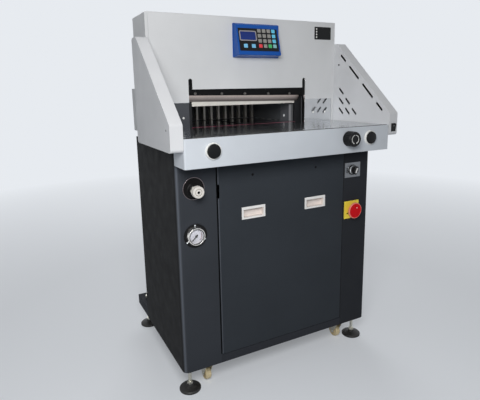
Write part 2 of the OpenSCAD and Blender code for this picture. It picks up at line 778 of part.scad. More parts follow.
// Cut buttons with their collars
stem_r = 11;
collar_t = 7;
collar_floor = 1.5;
cap_play = 0.4;
module button_bezels()
    color("#dcdcda") both_sides() difference() {
        turned_front(button_x, y_apron, button_z)
            let (r = button_d / 2)
            polygon([[0, -9], [sleeve_r, -9], [sleeve_r, 0], [r + 4, 0], [r + 4, 2], [r + 2.5, collar_t],
                [r + cap_play, collar_t], [r + cap_play, collar_floor], [0, collar_floor]]);
        rod_y(stem_r + fit, button_x, [y_apron - 10, y_apron + 12], button_z);
    }
module button(x)
    color(black) turned_front(x, y_apron - collar_t, button_z)
        let (r = button_d / 2)
        polygon([[0, -collar_t - 4], [stem_r, -collar_t - 4], [stem_r, 0], [r - 1, 0], [r, 1], [r, 2],
            for (t = [25 : 25 : 75]) [r - 3 + 3 * cos(t), 2 + 2.5 * sin(t)], [r / 2, 5.6], [0, 6.2]]);
module left_button() button(-button_x);
module right_button() button(button_x);

// Dial knob with a fluted grip and a dished face
flutes = 24;
module dial_knob()
    color(black) difference() {
        union() {
            turned_front(dial_x, y_apron, dial_z)
                polygon([[0, 0.5], [dial_d / 2 - 3, 0.5], [dial_d / 2, 4], [dial_d / 2, dial_l - 4],
                    [dial_d / 2 - 3, dial_l], [dial_d / 2 - 8, dial_l], [dial_d / 2 - 9, dial_l - 1.5],
                    [0, dial_l - 1.5]]);
            rod_y(dial_shaft_r, dial_x, [y_apron - 2, y_apron + sheet + 8], dial_z);
        }
        for (i = [0 : flutes - 1])
            translate([dial_x, y_apron - 6, dial_z]) rotate([90, i * 360 / flutes, 0])
                translate([dial_d / 2 + 0.9, 0, 0]) cylinder(r = 2.2, h = dial_l - 14);
    }

// Selector switch and main isolator in the right column
selector_size = [75, 57];
isolator_size = 69;
isolator_knob_r = 31;
isolator_knob_l = 22.5;
isolator_neck_r = 13;
switch_body = 44;
switch_pin_r = 4;
module switch_front(size, t, z) {
    block([switch_x - size[0] / 2, y_cab - t, z - size[1] / 2],
        [switch_x + size[0] / 2, y_cab, z + size[1] / 2]);
    rod_y(neck_r, switch_x, [y_cab - 1, y_cab + 8], z);
    block([switch_x - switch_body / 2, y_cab + 7, z - switch_body / 2],
        [switch_x + switch_body / 2, y_cab + 55, z + switch_body / 2]);
    rod_y(switch_pin_r, switch_x, [y_cab - t - 12, y_cab - 1], z);
}
module selector_plate() color("#bfc3c6") switch_front(selector_size, 3, selector_z);
module isolator_plate() color("#e8c51c") switch_front([isolator_size, isolator_size], 4, isolator_z);
module selector_knob()
    color(black) difference() {
        union() {
            turned_front(switch_x, y_cab - 3.5, selector_z)
                polygon([[0, 0], [17, 0], [17, 4], [15, 8], [0, 8]]);
            extrude_y([y_cab - 26, y_cab - 10]) translate([switch_x, selector_z])
                rotate(-20) slot_shape([0, -11], [0, 11], 5);
        }
        rod_y(switch_pin_r + fit, switch_x, [y_cab - 16, y_cab], selector_z);
    }
// Mushroom knob of the isolator, with a dished face and a pointer groove
module isolator_knob()
    color("#d02024") difference() {
        turned_front(switch_x, y_cab - 4.5, isolator_z)
            let (r = isolator_knob_r, l = isolator_knob_l)
            polygon([[0, 0], [isolator_neck_r, 0], [isolator_neck_r, l - 10], [r - 3, l - 7], [r, l - 5],
                [r, l - 3], [r - 1, l - 1], [r - 3, l], [r - 5, l], [r - 6, l - 1], [0, l - 1]]);
        rod_y(switch_pin_r + fit, switch_x, [y_cab - 17, y_cab], isolator_z);
        extrude_y([y_cab - isolator_knob_l - 6, y_cab - isolator_knob_l - 2])
            translate([switch_x, isolator_z]) slot_shape([0, 12], [0, 20], 1.5);
    }

// Hydraulic unit: tank with valve manifold, and the pump's motor on its lid
tank_side = 40;
tank_x = throat - tank_side;
tank_y = [y_cab + 60, y_upright + 120];
tank_h = 250;
lid_t = 6;
tank_top = base_top + tank_h + lid_t;
motor_at = [70, -60];
drive_r = 68;
drive_l = 200;
fins = 24;
tank_wall = 3;
pump_r = 40;
pump_l = 150;
manifold = [100, 80, 90];
manifold_at = [-100, -70];
solenoid_r = 20;
solenoid_l = 50;
filler_at = [-120, 40];
filler_r = 22;
module oil_tank()
    color("#5b5f63") difference() {
        union() {
            block([-tank_x, tank_y[0], base_top], [tank_x, tank_y[1], base_top + tank_h]);
            block([-tank_x - 10, tank_y[0] - 10, base_top + tank_h],
                [tank_x + 10, tank_y[1] + 10, tank_top]);
            translate([manifold_at[0], manifold_at[1], tank_top - 1]) {
                block([-manifold[0] / 2, -manifold[1] / 2, 0],
                    [manifold[0] / 2, manifold[1] / 2, manifold[2]]);
                for (x = [-manifold[0] / 4, manifold[0] / 4])
                    rod_y(solenoid_r, x, [-manifold[1] / 2 - solenoid_l, -manifold[1] / 2 + 1],
                        manifold[2] * 0.65);
            }
            rod_z(filler_r, filler_at[0], filler_at[1], [tank_top - 1, tank_top + 30]);
        }
        block([tank_wall - tank_x, tank_y[0] + tank_wall, base_top + tank_wall],
            [tank_x - tank_wall, tank_y[1] - tank_wall, base_top + tank_h]);
        rod_z(pump_r + 2, motor_at[0], motor_at[1], [base_top + tank_h - 1, tank_top + 1]);
    }
module pump_motor()
    color("#3d5a73") union() {
        rod_z(pump_r, motor_at[0], motor_at[1], [tank_top - pump_l, tank_top + 1]);
        rod_z(drive_r + 14, motor_at[0], motor_at[1], [tank_top, tank_top + 14]);
        rod_z(drive_r - 6, motor_at[0], motor_at[1], [tank_top, tank_top + drive_l]);
        rod_z(drive_r, motor_at[0], motor_at[1], [tank_top + drive_l - 46, tank_top + drive_l]);
        for (i = [0 : fins - 1])
            translate([motor_at[0], motor_at[1], tank_top + 10]) rotate(i * 360 / fins)
                block([drive_r - 10, -1.5, 0], [drive_r, 1.5, drive_l - 50]);
        block([motor_at[0] - 40, motor_at[1] - drive_r - 24, tank_top + 70],
            [motor_at[0] + 40, motor_at[1] - drive_r + 12, tank_top + 140]);
    }
box_in = [8, 80];
box_d = 135;
box_drop = 250;
box_rise = 60;
box_lo = [right_in + box_in[0], y_cab + box_in[1], isolator_z - box_drop];
box_hi = [half_w - sheet, y_cab + box_in[1] + box_d, isolator_z + box_rise];
box_wall = 3;
door_in = 6;
entry_r = 14;
entry_in = 40;
module electrical_box()
    color("#c2c6c8") difference() {
        union() {
            block(box_lo, box_hi);
            block([box_lo[0] + door_in, box_lo[1] - 3, box_lo[2] + door_in],
                [box_hi[0] - door_in, box_lo[1] + 1, box_hi[2] - door_in]);
        }
        block(box_lo + box_wall * [1, 1, 1], box_hi - box_wall * [1, 1, 1]);
        for (y = [box_lo[1] + entry_in, box_lo[1] + box_d - entry_in])
            rod_z(entry_r, (box_lo[0] + box_hi[0]) / 2, y, [box_lo[2] - 1, box_lo[2] + box_wall + 1]);
    }

// Cylinders of the clamp and of the knife
module clamp_cylinders()
    color("#5b5f63") both_sides() difference() {
        union() {
            rod_z(clamp_cylinder_r, clamp_rod_x, clamp_rod_y, clamp_cylinder_z);
            block([upright_x, clamp_rod_y - 14, clamp_cylinder_z[0] + 20],
                [clamp_rod_x - 4, clamp_rod_y + 14, clamp_cylinder_z[1] - 20]);
        }
        rod_z(clamp_rod_r + fit, clamp_rod_x, clamp_rod_y,
            [clamp_cylinder_z[0] + 8, clamp_cylinder_z[1] + 1]);
    }
module along_slide() translate(pivot_rest) rotate([0, 180 - slide_angle, 0]) children();
module knife_cylinder()
    color("#5b5f63") difference() {
        union() {
            along_slide() rod_z(knife_cylinder_r, 0, y_rod, [cylinder_from, cylinder_from + cylinder_l]);
            block([upright_x, y_upright, bracket_z - 16], [bracket_x, y_upright + 7, bracket_z + 16]);
        }
        along_slide()
            rod_z(knife_rod_r + fit, 0, y_rod, [cylinder_from - 1, cylinder_from + cylinder_l - 10]);
    }

// Knife slider: link plate with the pivot pin and the piston rod
link_half = 17;
module knife_slider()
    color(steel) along_slide() union() {
        block([-link_half, y_knife + touch, -link_half], [link_half, y_upright - 0.5, link_l]);
        block([-link_half, y_carrier + 1, link_l - 14], [link_half, y_upright - 0.5, link_l]);
        rod_y(pivot_r, 0, [y_carrier, y_knife + 1], 0);
        rod_z(knife_rod_r, 0, y_rod, [link_l - 1, cylinder_from + rod_in]);
    }
// Raised position of what is drawn level in the cut
module raised()
    translate(pivot_rest) rotate([0, knife_tilt, 0]) translate([-pivot_x, 0, -pivot_z]) children();
function turned(v, a) = [v[0] * cos(a) + v[1] * sin(a), v[1] * cos(a) - v[0] * sin(a)];
function lowered(p) = let (pivot = [pivot_x, pivot_z])
    pivot + turned(p + [knife_shift, -knife_drop] - pivot, -knife_tilt);
roller_at = [-roller_x, roller_z];
slot_play = 1.2;
ear_top = roller_z + roller_r + 14;
module knife_carrier()
    color(black) raised() difference() {
        extrude_y([y_carrier, y_knife]) difference() {
            union() {
                translate([-knife_l / 2 - 24, edge_z + knife_show])
                    square([knife_l / 2 + pivot_x + 50, carrier_h]);
                polygon([[-roller_x - 30, carrier_top - 1], [-roller_x + 46, carrier_top - 1],
                    [-roller_x + 30, ear_top], [-roller_x - 30, ear_top]]);
            }
            slot_shape(lowered(roller_at), roller_at, roller_r + slot_play);
        }
        rod_y(pivot_r + fit, pivot_x, [y_carrier - 1, y_knife + 1], pivot_z);
    }
bevel_h = 20;
module knife()
    color("#c9ccce") raised() extrude_x([-knife_l / 2, knife_l / 2])
        polygon([[y_knife, edge_z + knife_h], [y_knife, edge_z + bevel_h],
            [y_knife + knife_t - 0.5, edge_z],
            [y_knife + knife_t, edge_z], [y_knife + knife_t, edge_z + knife_h]]);

// Clamp beam: comb of grooves at the back for the gauge's fingers, arms out through the side frames
groove_w = 15;
groove_h = clamp_travel + 12;
finger_w = 9;
function finger_at(i) = (i - (finger_count - 1) / 2) * finger_pitch;
module clamp_beam()
    color(steel) difference() {
        union() {
            extrude_x([2 - throat, throat - 2])
                polygon([[y_clamp, clamp_z], [y_clamp_back, clamp_z],
                    [y_clamp_back, clamp_z + clamp_h - 30],
                    [y_clamp_back - 14, clamp_z + clamp_h], [y_clamp, clamp_z + clamp_h]]);
            both_sides()
                block([throat - 3, arm_y, arm_z], [clamp_rod_x + 16, arm_y + arm_d, arm_z + arm_h]);
        }
        for (i = [0 : finger_count - 1])
            block([finger_at(i) - groove_w / 2, y_clamp_back - finger_l - 2, clamp_z - 1],
                [finger_at(i) + groove_w / 2, y_clamp_back + 1, clamp_z + groove_h]);
        both_sides() rod_z(clamp_rod_r + fit, clamp_rod_x, clamp_rod_y, [arm_z - 1, arm_z + arm_h + 1]);
    }
module clamp_rods()
    color(steel) both_sides() {
        rod_z(clamp_rod_r, clamp_rod_x, clamp_rod_y, [clamp_rod_foot, arm_z + arm_h + 14]);
        rod_z(16, clamp_rod_x, clamp_rod_y, [arm_z + arm_h, arm_z + arm_h + 12], $fn = 6);
    }

// Back gauge: bar with fingers on a carriage under the rear table
module back_gauge()
    color("#3b3d40") difference() {
        union() {
            block([-gauge_half, y_bar, gauge_z], [gauge_half, y_bar + bar_t, gauge_z + gauge_h]);
            for (i = [0 : finger_count - 1])
                block([finger_at(i) - finger_w / 2, y_bar - finger_l, gauge_z],
                    [finger_at(i) + finger_w / 2, y_bar + 1, gauge_z + gauge_h]);
            block([2 - slot_half, y_bar + 2, rail_z], [slot_half - 2, y_bar + bar_t - 2, gauge_z + 1]);
            block([-carriage_half, y_bar - 6, rail_z - 19],
                [carriage_half, y_bar + carriage_t - 6, rail_z + 21]);
        }
        rail_bores([y_bar - 7, y_bar + carriage_t]);
    }
module lead_screw() color(steel) rod_y(rail_r, 0, [y_beam - 22, y_bracket + bracket_t], rail_z);
module gauge_motor()
    color(black) difference() {
        union() {
            rod_y(motor_r, 0, [y_beam - 100, y_beam], rail_z);
            block([-motor_r, y_beam - 12, rail_z - motor_r], [motor_r, y_beam, rail_z + motor_r]);
        }
        rod_y(rail_r + fit, 0, [y_beam - 25, y_beam + 1], rail_z);
    }

// Lift-off front panel and its recessed grips
latch_drop = 100;
latch_z = apron_z - latch_drop;
latch_h = 46;
latch_w = 6;
cup_d = 18;
module access_panel()
    color(anthracite) difference() {
        union() {
            block([panel[0], y_cab, panel_low], [panel[1], y_cab + sheet, apron_z - 4]);
            extrude_z([base_top + touch, apron_z - 4])
                bent_sheet([[panel[0], y_cab + flange], [panel[0], y_cab], [panel[1], y_cab],
                    [panel[1], y_cab + flange]], bend_r);
            for (z = [base_top + touch, apron_z - 4 - sheet])
                block([panel[0] + sheet, y_cab + sheet / 2, z],
                    [panel[1] - sheet, y_cab + flange + 4, z + sheet]);
        }
        translate([panel_mid, 0, 0]) both_sides()
            block([grip_x - grip_w / 2 + 4, y_cab - 1, grip_z - grip_h / 2 + 3],
                [grip_x + grip_w / 2 - 4, y_cab + sheet + 1, grip_z + grip_h / 2 - 3]);
        block([panel[0] - 1, y_cab - 1, latch_z - latch_h / 2],
            [panel[0] + latch_w, y_cab + flange + 1, latch_z + latch_h / 2]);
    }
module recessed_grips()
    color(cream) translate([panel_mid, 0, 0]) both_sides() {
        w = grip_w / 2;
        h = grip_h / 2;
        difference() {
            union() {
                block([grip_x - w, y_cab - 2, grip_z - h], [grip_x + w, y_cab, grip_z + h]);
                block([grip_x - w + 4.3, y_cab - 1, grip_z - h + 3.3],
                    [grip_x + w - 4.3, y_cab + cup_d, grip_z + h - 3.3]);
            }
            block([grip_x - w + 7, y_cab - 3, grip_z - h + 6],
                [grip_x + w - 7, y_cab + cup_d - 2, grip_z + h - 9]);
            block([grip_x - w + 7, y_cab + 4, grip_z - h + 6],
                [grip_x + w - 7, y_cab + cup_d - 2, grip_z + h - 5.5]);
        }
    }

// Levelling feet and casters
socket_z = 8;
pad_h = 22;
module at_feet() both_sides() for (y = foot_y) translate([foot_x, y, 0]) children();
module foot_pads()
    color(black) at_feet() difference() {
        rotate_extrude()
            polygon([[0, 0], [pad_d / 2 - 1, 0], [pad_d / 2, 1], [pad_d / 2, 6], [pad_d / 2 - 3, 9],
                [stem_d / 2 + 7, 16], [stem_d / 2 + 5, pad_h], [0, pad_h]]);
        rod_z(stem_d / 2 + fit, 0, 0, [socket_z, pad_h + 1]);
    }
module foot_stems()
    color(zinc) at_feet() union() {
        rod_z(stem_d / 2, 0, 0, [socket_z, base_top + 22]);
        rod_z(stem_d - 1, 0, 0, [pad_h, pad_h + 8], $fn = 6);
        rod_z(stem_d - 1, 0, 0, [base_gap - 10, base_gap], $fn = 6);
        rod_z(stem_d - 1, 0, 0, [base_top, base_top + 10], $fn = 6);
    }
cheek_t = 3;
cheek_x = wheel_w / 2 + 1.5;
fork_top = base_gap - 8;
module fork_cheeks(trail)
    for (x = [-cheek_x - cheek_t, cheek_x])
        extrude_x([x, x + cheek_t]) union() {
            polygon([[-20, fork_top], [trail - 9, axle_z], [trail + 9, axle_z], [22, fork_top]]);
            translate([trail, axle_z]) circle(9);
        }
module fork_axle(trail) rod_x(axle_r, [-cheek_x - cheek_t - 2, cheek_x + cheek_t + 2], trail, axle_z);
module swivel_fork(x)
    color(zinc) translate([x, caster_y, 0]) union() {
        fork_cheeks(caster_trail);
        fork_axle(caster_trail);
        rod_z(24, 0, 0, [fork_top - 3, base_gap - 0.5]);
        rod_z(king_r, 0, 0, [base_gap - 1, base_gap + king_l]);
    }
module rear_forks()
    color(zinc) both_sides() translate([caster_x, rear_caster_y, 0]) {
        fork_cheeks(0);
        fork_axle(0);
        block([-28, -36, fork_top - 3], [28, 36, base_gap]);
    }
module wheel(x, y)
    color(cream) difference() {
        translate([x, y, axle_z]) rotate([0, 90, 0]) rotate_extrude()
            polygon([[0, -wheel_w / 2], [10, -wheel_w / 2], [10, -wheel_w / 2 + 3],
                [wheel_d / 2 - 6, -wheel_w / 2 + 3],
                [wheel_d / 2 - 5, -wheel_w / 2], [wheel_d / 2 - 2, -wheel_w / 2],
                [wheel_d / 2, -wheel_w / 2 + 4],
                [wheel_d / 2, wheel_w / 2 - 4], [wheel_d / 2 - 2, wheel_w / 2],
                [wheel_d / 2 - 5, wheel_w / 2],
                [wheel_d / 2 - 6, wheel_w / 2 - 3], [10, wheel_w / 2 - 3], [10, wheel_w / 2],
                [0, wheel_w / 2]]);
        rod_x(axle_r + fit, [x - wheel_w, x + wheel_w], y, axle_z);
    }
module front_left_fork() swivel_fork(-caster_x);
module front_right_fork() swivel_fork(caster_x);
module front_left_wheel() wheel(-caster_x, caster_y + caster_trail);
module front_right_wheel() wheel(caster_x, caster_y + caster_trail);
module rear_left_wheel() wheel(-caster_x, rear_caster_y);
module rear_right_wheel() wheel(caster_x, rear_caster_y);

base_frame();
left_cabinet_panel();
right_cabinet_panel();
rear_cabinet_panel();
front_table();
rear_table();
cutting_stick();
front_apron();
left_upright();
right_upright();
cross_beam();
guide_covers();
front_cover();
housing_shell();
rear_cover();
left_wing();
right_wing();
rear_guard();
control_box();
control_face();
gauge_case();
gauge_bezel();
gauge_glass();
regulator_body();
button_bezels();
selector_plate();
isolator_plate();
oil_tank();
pump_motor();
clamp_cylinders();
knife_cylinder();
electrical_box();
gauge_rails();
gauge_motor();
foot_pads();
foot_stems();
rear_forks();
access_panel();
recessed_grips();
knife_slider();
knife_carrier();
knife();
clamp_beam();
clamp_rods();
back_gauge();
lead_screw();
left_button();
right_button();
dial_knob();
rocker();
selector_knob();
isolator_knob();
regulator_knob();
gauge_needle();
front_left_fork();
front_right_fork();
front_left_wheel();
front_right_wheel();
rear_left_wheel();
rear_right_wheel();
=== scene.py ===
"""Looks of the paper cutter: materials for its solids, small fittings, floor, light and camera."""
import math

import bmesh
import bpy
from mathutils import Matrix, Vector


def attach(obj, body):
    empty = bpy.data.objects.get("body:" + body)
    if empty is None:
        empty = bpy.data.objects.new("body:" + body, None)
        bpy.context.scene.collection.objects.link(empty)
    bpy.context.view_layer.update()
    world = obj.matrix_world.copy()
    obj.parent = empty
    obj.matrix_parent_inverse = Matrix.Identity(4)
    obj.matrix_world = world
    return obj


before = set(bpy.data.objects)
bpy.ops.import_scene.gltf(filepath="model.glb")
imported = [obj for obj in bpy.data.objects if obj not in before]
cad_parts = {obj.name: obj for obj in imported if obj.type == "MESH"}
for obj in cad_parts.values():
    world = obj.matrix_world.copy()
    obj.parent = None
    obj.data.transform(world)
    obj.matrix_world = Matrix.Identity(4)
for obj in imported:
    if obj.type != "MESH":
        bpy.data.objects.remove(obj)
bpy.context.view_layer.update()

MM = 0.001
SCENE = bpy.context.scene


# Node graphs

class Tree:
    """Node tree, with short ways to add nodes and to join them."""

    def __init__(self, tree):
        self.tree = tree
        self.tree.nodes.clear()

    def add(self, kind, sockets=None, **options):
        node = self.tree.nodes.new(kind)
        for key, value in options.items():
            setattr(node, key, value)
        for key, value in (sockets or {}).items():
            self.put(node.inputs[key], value)
        return node

    def put(self, socket, value):
        """Joins a socket to another one, or sets its value."""
        if isinstance(value, bpy.types.NodeSocket):
            self.tree.links.new(value, socket)
        elif isinstance(value, tuple) and len(value) == 3 and socket.type == "RGBA":
            socket.default_value = (*value, 1)
        else:
            socket.default_value = value

    def math(self, operation, a, b=0.0):
        return self.add("ShaderNodeMath", {0: a, 1: b}, operation=operation).outputs[0]

    def seen(self):
        """1 for rays of the camera, of mirrors and of windows, 0 for rays that light the object."""
        path = self.add("ShaderNodeLightPath").outputs
        indirect = self.math("MAXIMUM", path["Is Glossy Ray"], path["Is Transmission Ray"])
        return self.math("MAXIMUM", path["Is Camera Ray"], indirect)


class Graph(Tree):
    """Node tree of one material round a Principled shader."""

    # Cosine between softened and true normal: where an edge begins, and where it counts in full
    EDGE_COSINES = (0.995, 0.85)
    EDGE_SAMPLES = 6
    # Share of X in the normal: of a face square to X, and where a sideways face begins and counts in full
    SQUARE_ON = 0.9
    SIDEWAYS = (0.5, 0.95)
    # Width of the soft borders of corners and spots
    CORNER_BORDER = 5.5 * MM
    SPOT_BORDER = 0.6 * MM

    def __init__(self, name):
        self.material = bpy.data.materials.new(name)
        self.material.use_nodes = True
        super().__init__(self.material.node_tree)
        self.shader = self.add("ShaderNodeBsdfPrincipled")
        self.output = self.add("ShaderNodeOutputMaterial", {"Surface": self.shader.outputs[0]})
        self.place = self.add("ShaderNodeTexCoord").outputs["Object"]

    def set(self, **sockets):
        """Inputs of the Principled shader, by their names in lower case."""
        for key, value in sockets.items():
            self.put(self.shader.inputs[key.replace("_", " ").title().replace("Ior", "IOR")], value)

    def noise(self, size, detail, stretch=None):
        """Noise whose features are about size metres wide, longer along an axis where stretch is small."""
        where = self.place
        if stretch:
            where = self.add("ShaderNodeMapping", {"Vector": where, "Scale": stretch}).outputs[0]
        sockets = {"Vector": where, "Scale": 1 / size, "Detail": detail}
        return self.add("ShaderNodeTexNoise", sockets).outputs[0]

    def cells(self, size, output):
        """Cells of about size metres: their Distance or their Color."""
        return self.add("ShaderNodeTexVoronoi", {"Vector": self.place, "Scale": 1 / size}).outputs[output]

    def span(self, value, start, end, low=0.0, high=1.0):
        """The value from start to end, spread over low to high."""
        sockets = {"Value": value, "From Min": start, "From Max": end, "To Min": low, "To Max": high}
        return self.add("ShaderNodeMapRange", sockets).outputs[0]

    def mix(self, share, a, b, kind="MIX"):
        """A colour between a and b, or between a and their product."""
        return self.add("ShaderNodeMix", {0: share, 6: a, 7: b}, data_type="RGBA", blend_type=kind).outputs[2]

    def blend(self, share, a, b):
        """A number between a and b."""
        return self.add("ShaderNodeMix", {0: share, 2: a, 3: b}).outputs[0]

    def parts(self, vector=None):
        """X, Y and Z of a vector, or else of the place."""
        return self.add("ShaderNodeSeparateXYZ", {0: vector or self.place}).outputs

    def flat_normal(self):
        return self.add("ShaderNodeNewGeometry").outputs["Normal"]

    def beyond(self, axis, limit):
        """1 where the place along an axis (0, 1 or 2) is past a limit in metres, else 0."""
        return self.math("GREATER_THAN", self.parts()[axis], limit)

    def lean(self):
        """1 on faces that look along X, 0 on faces that look across it."""
        return self.math("ABSOLUTE", self.parts(self.flat_normal())[0])

    def hollow(self, low, high):
        """1 on faces that look along X and lie between two distances in metres from the middle plane, where
        painted shade goes inside a hollow.
        """
        off = self.math("ABSOLUTE", self.parts()[0])
        past = self.math("GREATER_THAN", off, low)
        between = self.math("MULTIPLY", past, self.math("LESS_THAN", off, high))
        return self.math("MULTIPLY", between, self.math("GREATER_THAN", self.lean(), self.SQUARE_ON))

    def sideways(self):
        """1 on faces that look along X, 0 on faces that look to the front, soft between them."""
        return self.span(self.lean(), *self.SIDEWAYS)

    def spots(self, places, radius, beyond):
        """1 within a radius of places (y, z) on the outer faces, past a distance from the middle plane."""
        x, y, z = self.parts()
        flat = self.add("ShaderNodeCombineXYZ", {1: y, 2: z}).outputs[0]
        outer = self.math("GREATER_THAN", self.math("ABSOLUTE", x), beyond)
        mask = 0.0
        for spot in places:
            sockets = {0: flat, 1: (0, *spot)}
            apart = self.add("ShaderNodeVectorMath", sockets, operation="DISTANCE").outputs["Value"]
            mask = self.math("MAXIMUM", self.span(apart, radius, radius - self.SPOT_BORDER), mask)
        return self.math("MULTIPLY", outer, mask)

    def corner(self, across, front):
        """1 round the front corners, past a distance from the middle plane and before a front plane."""
        x, y, _ = self.parts()
        side = self.span(self.math("ABSOLUTE", x), across, across + self.CORNER_BORDER)
        return self.math("MULTIPLY", side, self.span(y, front, front - self.CORNER_BORDER))

    def bump(self, height, strength, distance, normal=None):
        sockets = {"Height": height, "Strength": strength, "Distance": distance}
        if normal:
            sockets["Normal"] = normal
        return self.add("ShaderNodeBump", sockets).outputs[0]

    def edges(self, radius):
        """Softened normal, and a mask that is 1 along edges of about that radius."""
        soft = self.add("ShaderNodeBevel", {"Radius": radius}, samples=self.EDGE_SAMPLES).outputs[0]
        sockets = {0: soft, 1: self.flat_normal()}
        dot = self.add("ShaderNodeVectorMath", sockets, operation="DOT_PRODUCT").outputs["Value"]
        return soft, self.span(dot, *self.EDGE_COSINES)


# Materials. MOST is the range that holds most values of a noise, tones are sRGB codes

MOST = (0.3, 0.7)
# Painted shade on the inner faces of hollows
HOLLOW_SHADE_TONE = "17181a"
SCREW_TONE = "2f2f31"
SCREW_RADIUS = 3.6 * MM
# Painted highlight round a corner: roughness there and how much lighter the colour gets
CORNER_HIGHLIGHT_ROUGH = 0.28
CORNER_HIGHLIGHT_LIGHT = 2.7
ZINC_FILM = "b9a878"
RUBBER_DUST = "4a4742"
DISPLAY_DOT = 0.9 * MM


def shade(colour, factor):
    return tuple(min(1.0, c * factor) for c in colour)


def hexed(code):
    """Linear colour from an sRGB code."""
    parts = [int(code[i:i + 2], 16) / 255 for i in (0, 2, 4)]
    return tuple(p / 12.92 if p <= 0.04045 else ((p + 0.055) / 1.055) ** 2.4 for p in parts)


def painted(name, code, grain=0.9 * MM, peel=0.3, gloss=(0.38, 0.52), wear_and_highlight=0.25, edge=1.2 * MM, shine=0.5,
            hollow=None, screws=None, corner=None, side=None):
    """Powder coat: orange-peel grain, faint cloudiness, thinner and lighter along edges, the lighter tone
    being wear and a painted highlight.

    It may carry painted shade inside a hollow, have flush dark screws, carry a painted highlight and smoother
    paint round a corner, and be multiplied by a darker colour on the faces that look sideways, as painted
    shade."""
    g = Graph(name)
    colour = hexed(code)
    soft, rim = g.edges(edge)
    cloud = g.noise(220 * MM, 3.0)
    speck = g.noise(grain * 0.7, 2.0)
    tone = g.mix(g.span(cloud, 0.35, 0.65), shade(colour, 0.955), shade(colour, 1.045))
    tone = g.mix(g.span(speck, 0.35, 0.75, 0.0, 0.10), tone, shade(colour, 1.35))
    # Lighter edges: wear of the coat and a painted highlight along the edges
    worn = g.math("MULTIPLY", rim, g.span(g.noise(35 * MM, 4.0), 0.35, 0.62, 0.2 * wear_and_highlight, wear_and_highlight))
    tone = g.mix(worn, tone, shade(colour, 1.5))
    # Painted shade: faces that look sideways are multiplied by a darker colour
    if side:
        tone = g.mix(g.sideways(), tone, side, "MULTIPLY")
    # Painted shade on the inner faces of a hollow
    if hollow:
        tone = g.mix(g.hollow(*hollow), tone, hexed(HOLLOW_SHADE_TONE))
    if screws:
        tone = g.mix(g.spots(screws, SCREW_RADIUS, hollow[1]), tone, hexed(SCREW_TONE))
    rough = g.span(g.noise(50 * MM, 5.0), *MOST, *gloss)
    # Painted highlight: lighter tone and smoother paint round the front corner
    if corner:
        corner_highlight = g.corner(*corner)
        rough = g.blend(corner_highlight, rough, CORNER_HIGHLIGHT_ROUGH)
        tone = g.mix(corner_highlight, tone, shade(colour, CORNER_HIGHLIGHT_LIGHT))
    height = g.math("ADD", g.noise(grain, 1.0), g.math("MULTIPLY", g.noise(grain * 4, 2.0), 0.8))
    g.set(base_color=tone, roughness=rough, specular_ior_level=shine,
          normal=g.bump(height, peel, 0.12 * MM, soft))
    return g.material


def cast_painted(name, code, shine=0.4):
    """Hammer-finish paint over a rough casting, with oil film in patches."""
    g = Graph(name)
    colour = hexed(code)
    soft, rim = g.edges(1.5 * MM)
    film = g.noise(90 * MM, 4.0)
    tone = g.mix(g.span(film, 0.4, 0.65), colour, shade(colour, 0.72))
    tone = g.mix(g.math("MULTIPLY", rim, 0.35), tone, shade(colour, 1.7))
    g.set(base_color=tone, roughness=g.span(film, 0.35, 0.65, 0.6, 0.4), specular_ior_level=shine,
          normal=g.bump(g.cells(5 * MM, "Distance"), 0.45, 0.4 * MM, soft))
    return g.material


def metal(name, code, rough, lay=(1, 1, 1), line=0.4 * MM, marks=0.35, darker_below=None):
    """Bare metal: fine lines along its lay, smudges, a few longer scratches and bright edges.

    Its last argument (code, lean, low, high) darkens it towards a lower edge that leans by a slope along X."""
    g = Graph(name)
    colour = hexed(code)
    soft, rim = g.edges(0.8 * MM)
    lines = g.noise(line, 3.0, lay)
    smudge = g.noise(60 * MM, 4.0)
    scratch = g.span(g.noise(line * 6, 2.0, lay), 0.66, 0.72)
    tone = g.mix(g.span(smudge, *MOST), shade(colour, 0.95), shade(colour, 1.05))
    if darker_below:
        ground, lean, low, high = darker_below
        x, _, z = g.parts()
        level = g.math("ADD", z, g.math("MULTIPLY", x, lean))
        tone = g.mix(g.span(level, low, high), hexed(ground), tone)
    tone = g.mix(g.math("MULTIPLY", scratch, 0.25), tone, shade(colour, 0.7))
    tone = g.mix(g.math("MULTIPLY", rim, 0.5), tone, shade(colour, 1.25))
    spread = g.math("ADD", g.span(lines, *MOST, *rough), g.span(smudge, 0.5, 0.75, 0.0, 0.06))
    height = g.math("ADD", lines, g.math("MULTIPLY", scratch, -0.8))
    g.set(base_color=tone, metallic=1.0, roughness=spread, normal=g.bump(height, marks, 0.03 * MM, soft))
    return g.material


def zinc_plated(name, code):
    """Zinc plate: soft spangles, dull film, bright worn edges."""
    g = Graph(name)
    colour = hexed(code)
    soft, rim = g.edges(0.8 * MM)
    spangle = g.add("ShaderNodeRGBToBW", {0: g.cells(6 * MM, "Color")}).outputs[0]
    film = g.noise(20 * MM, 4.0)
    tone = g.mix(g.span(spangle, 0.1, 0.9), shade(colour, 0.85), shade(colour, 1.1))
    tone = g.mix(g.span(film, 0.5, 0.8, 0.0, 0.35), tone, shade(hexed(ZINC_FILM), 0.8))
    tone = g.mix(g.math("MULTIPLY", rim, 0.5), tone, shade(colour, 1.3))
    g.set(base_color=tone, metallic=0.9, roughness=g.span(film, *MOST, 0.28, 0.46),
          normal=g.bump(g.noise(0.8 * MM, 2.0), 0.15, 0.05 * MM, soft))
    return g.material


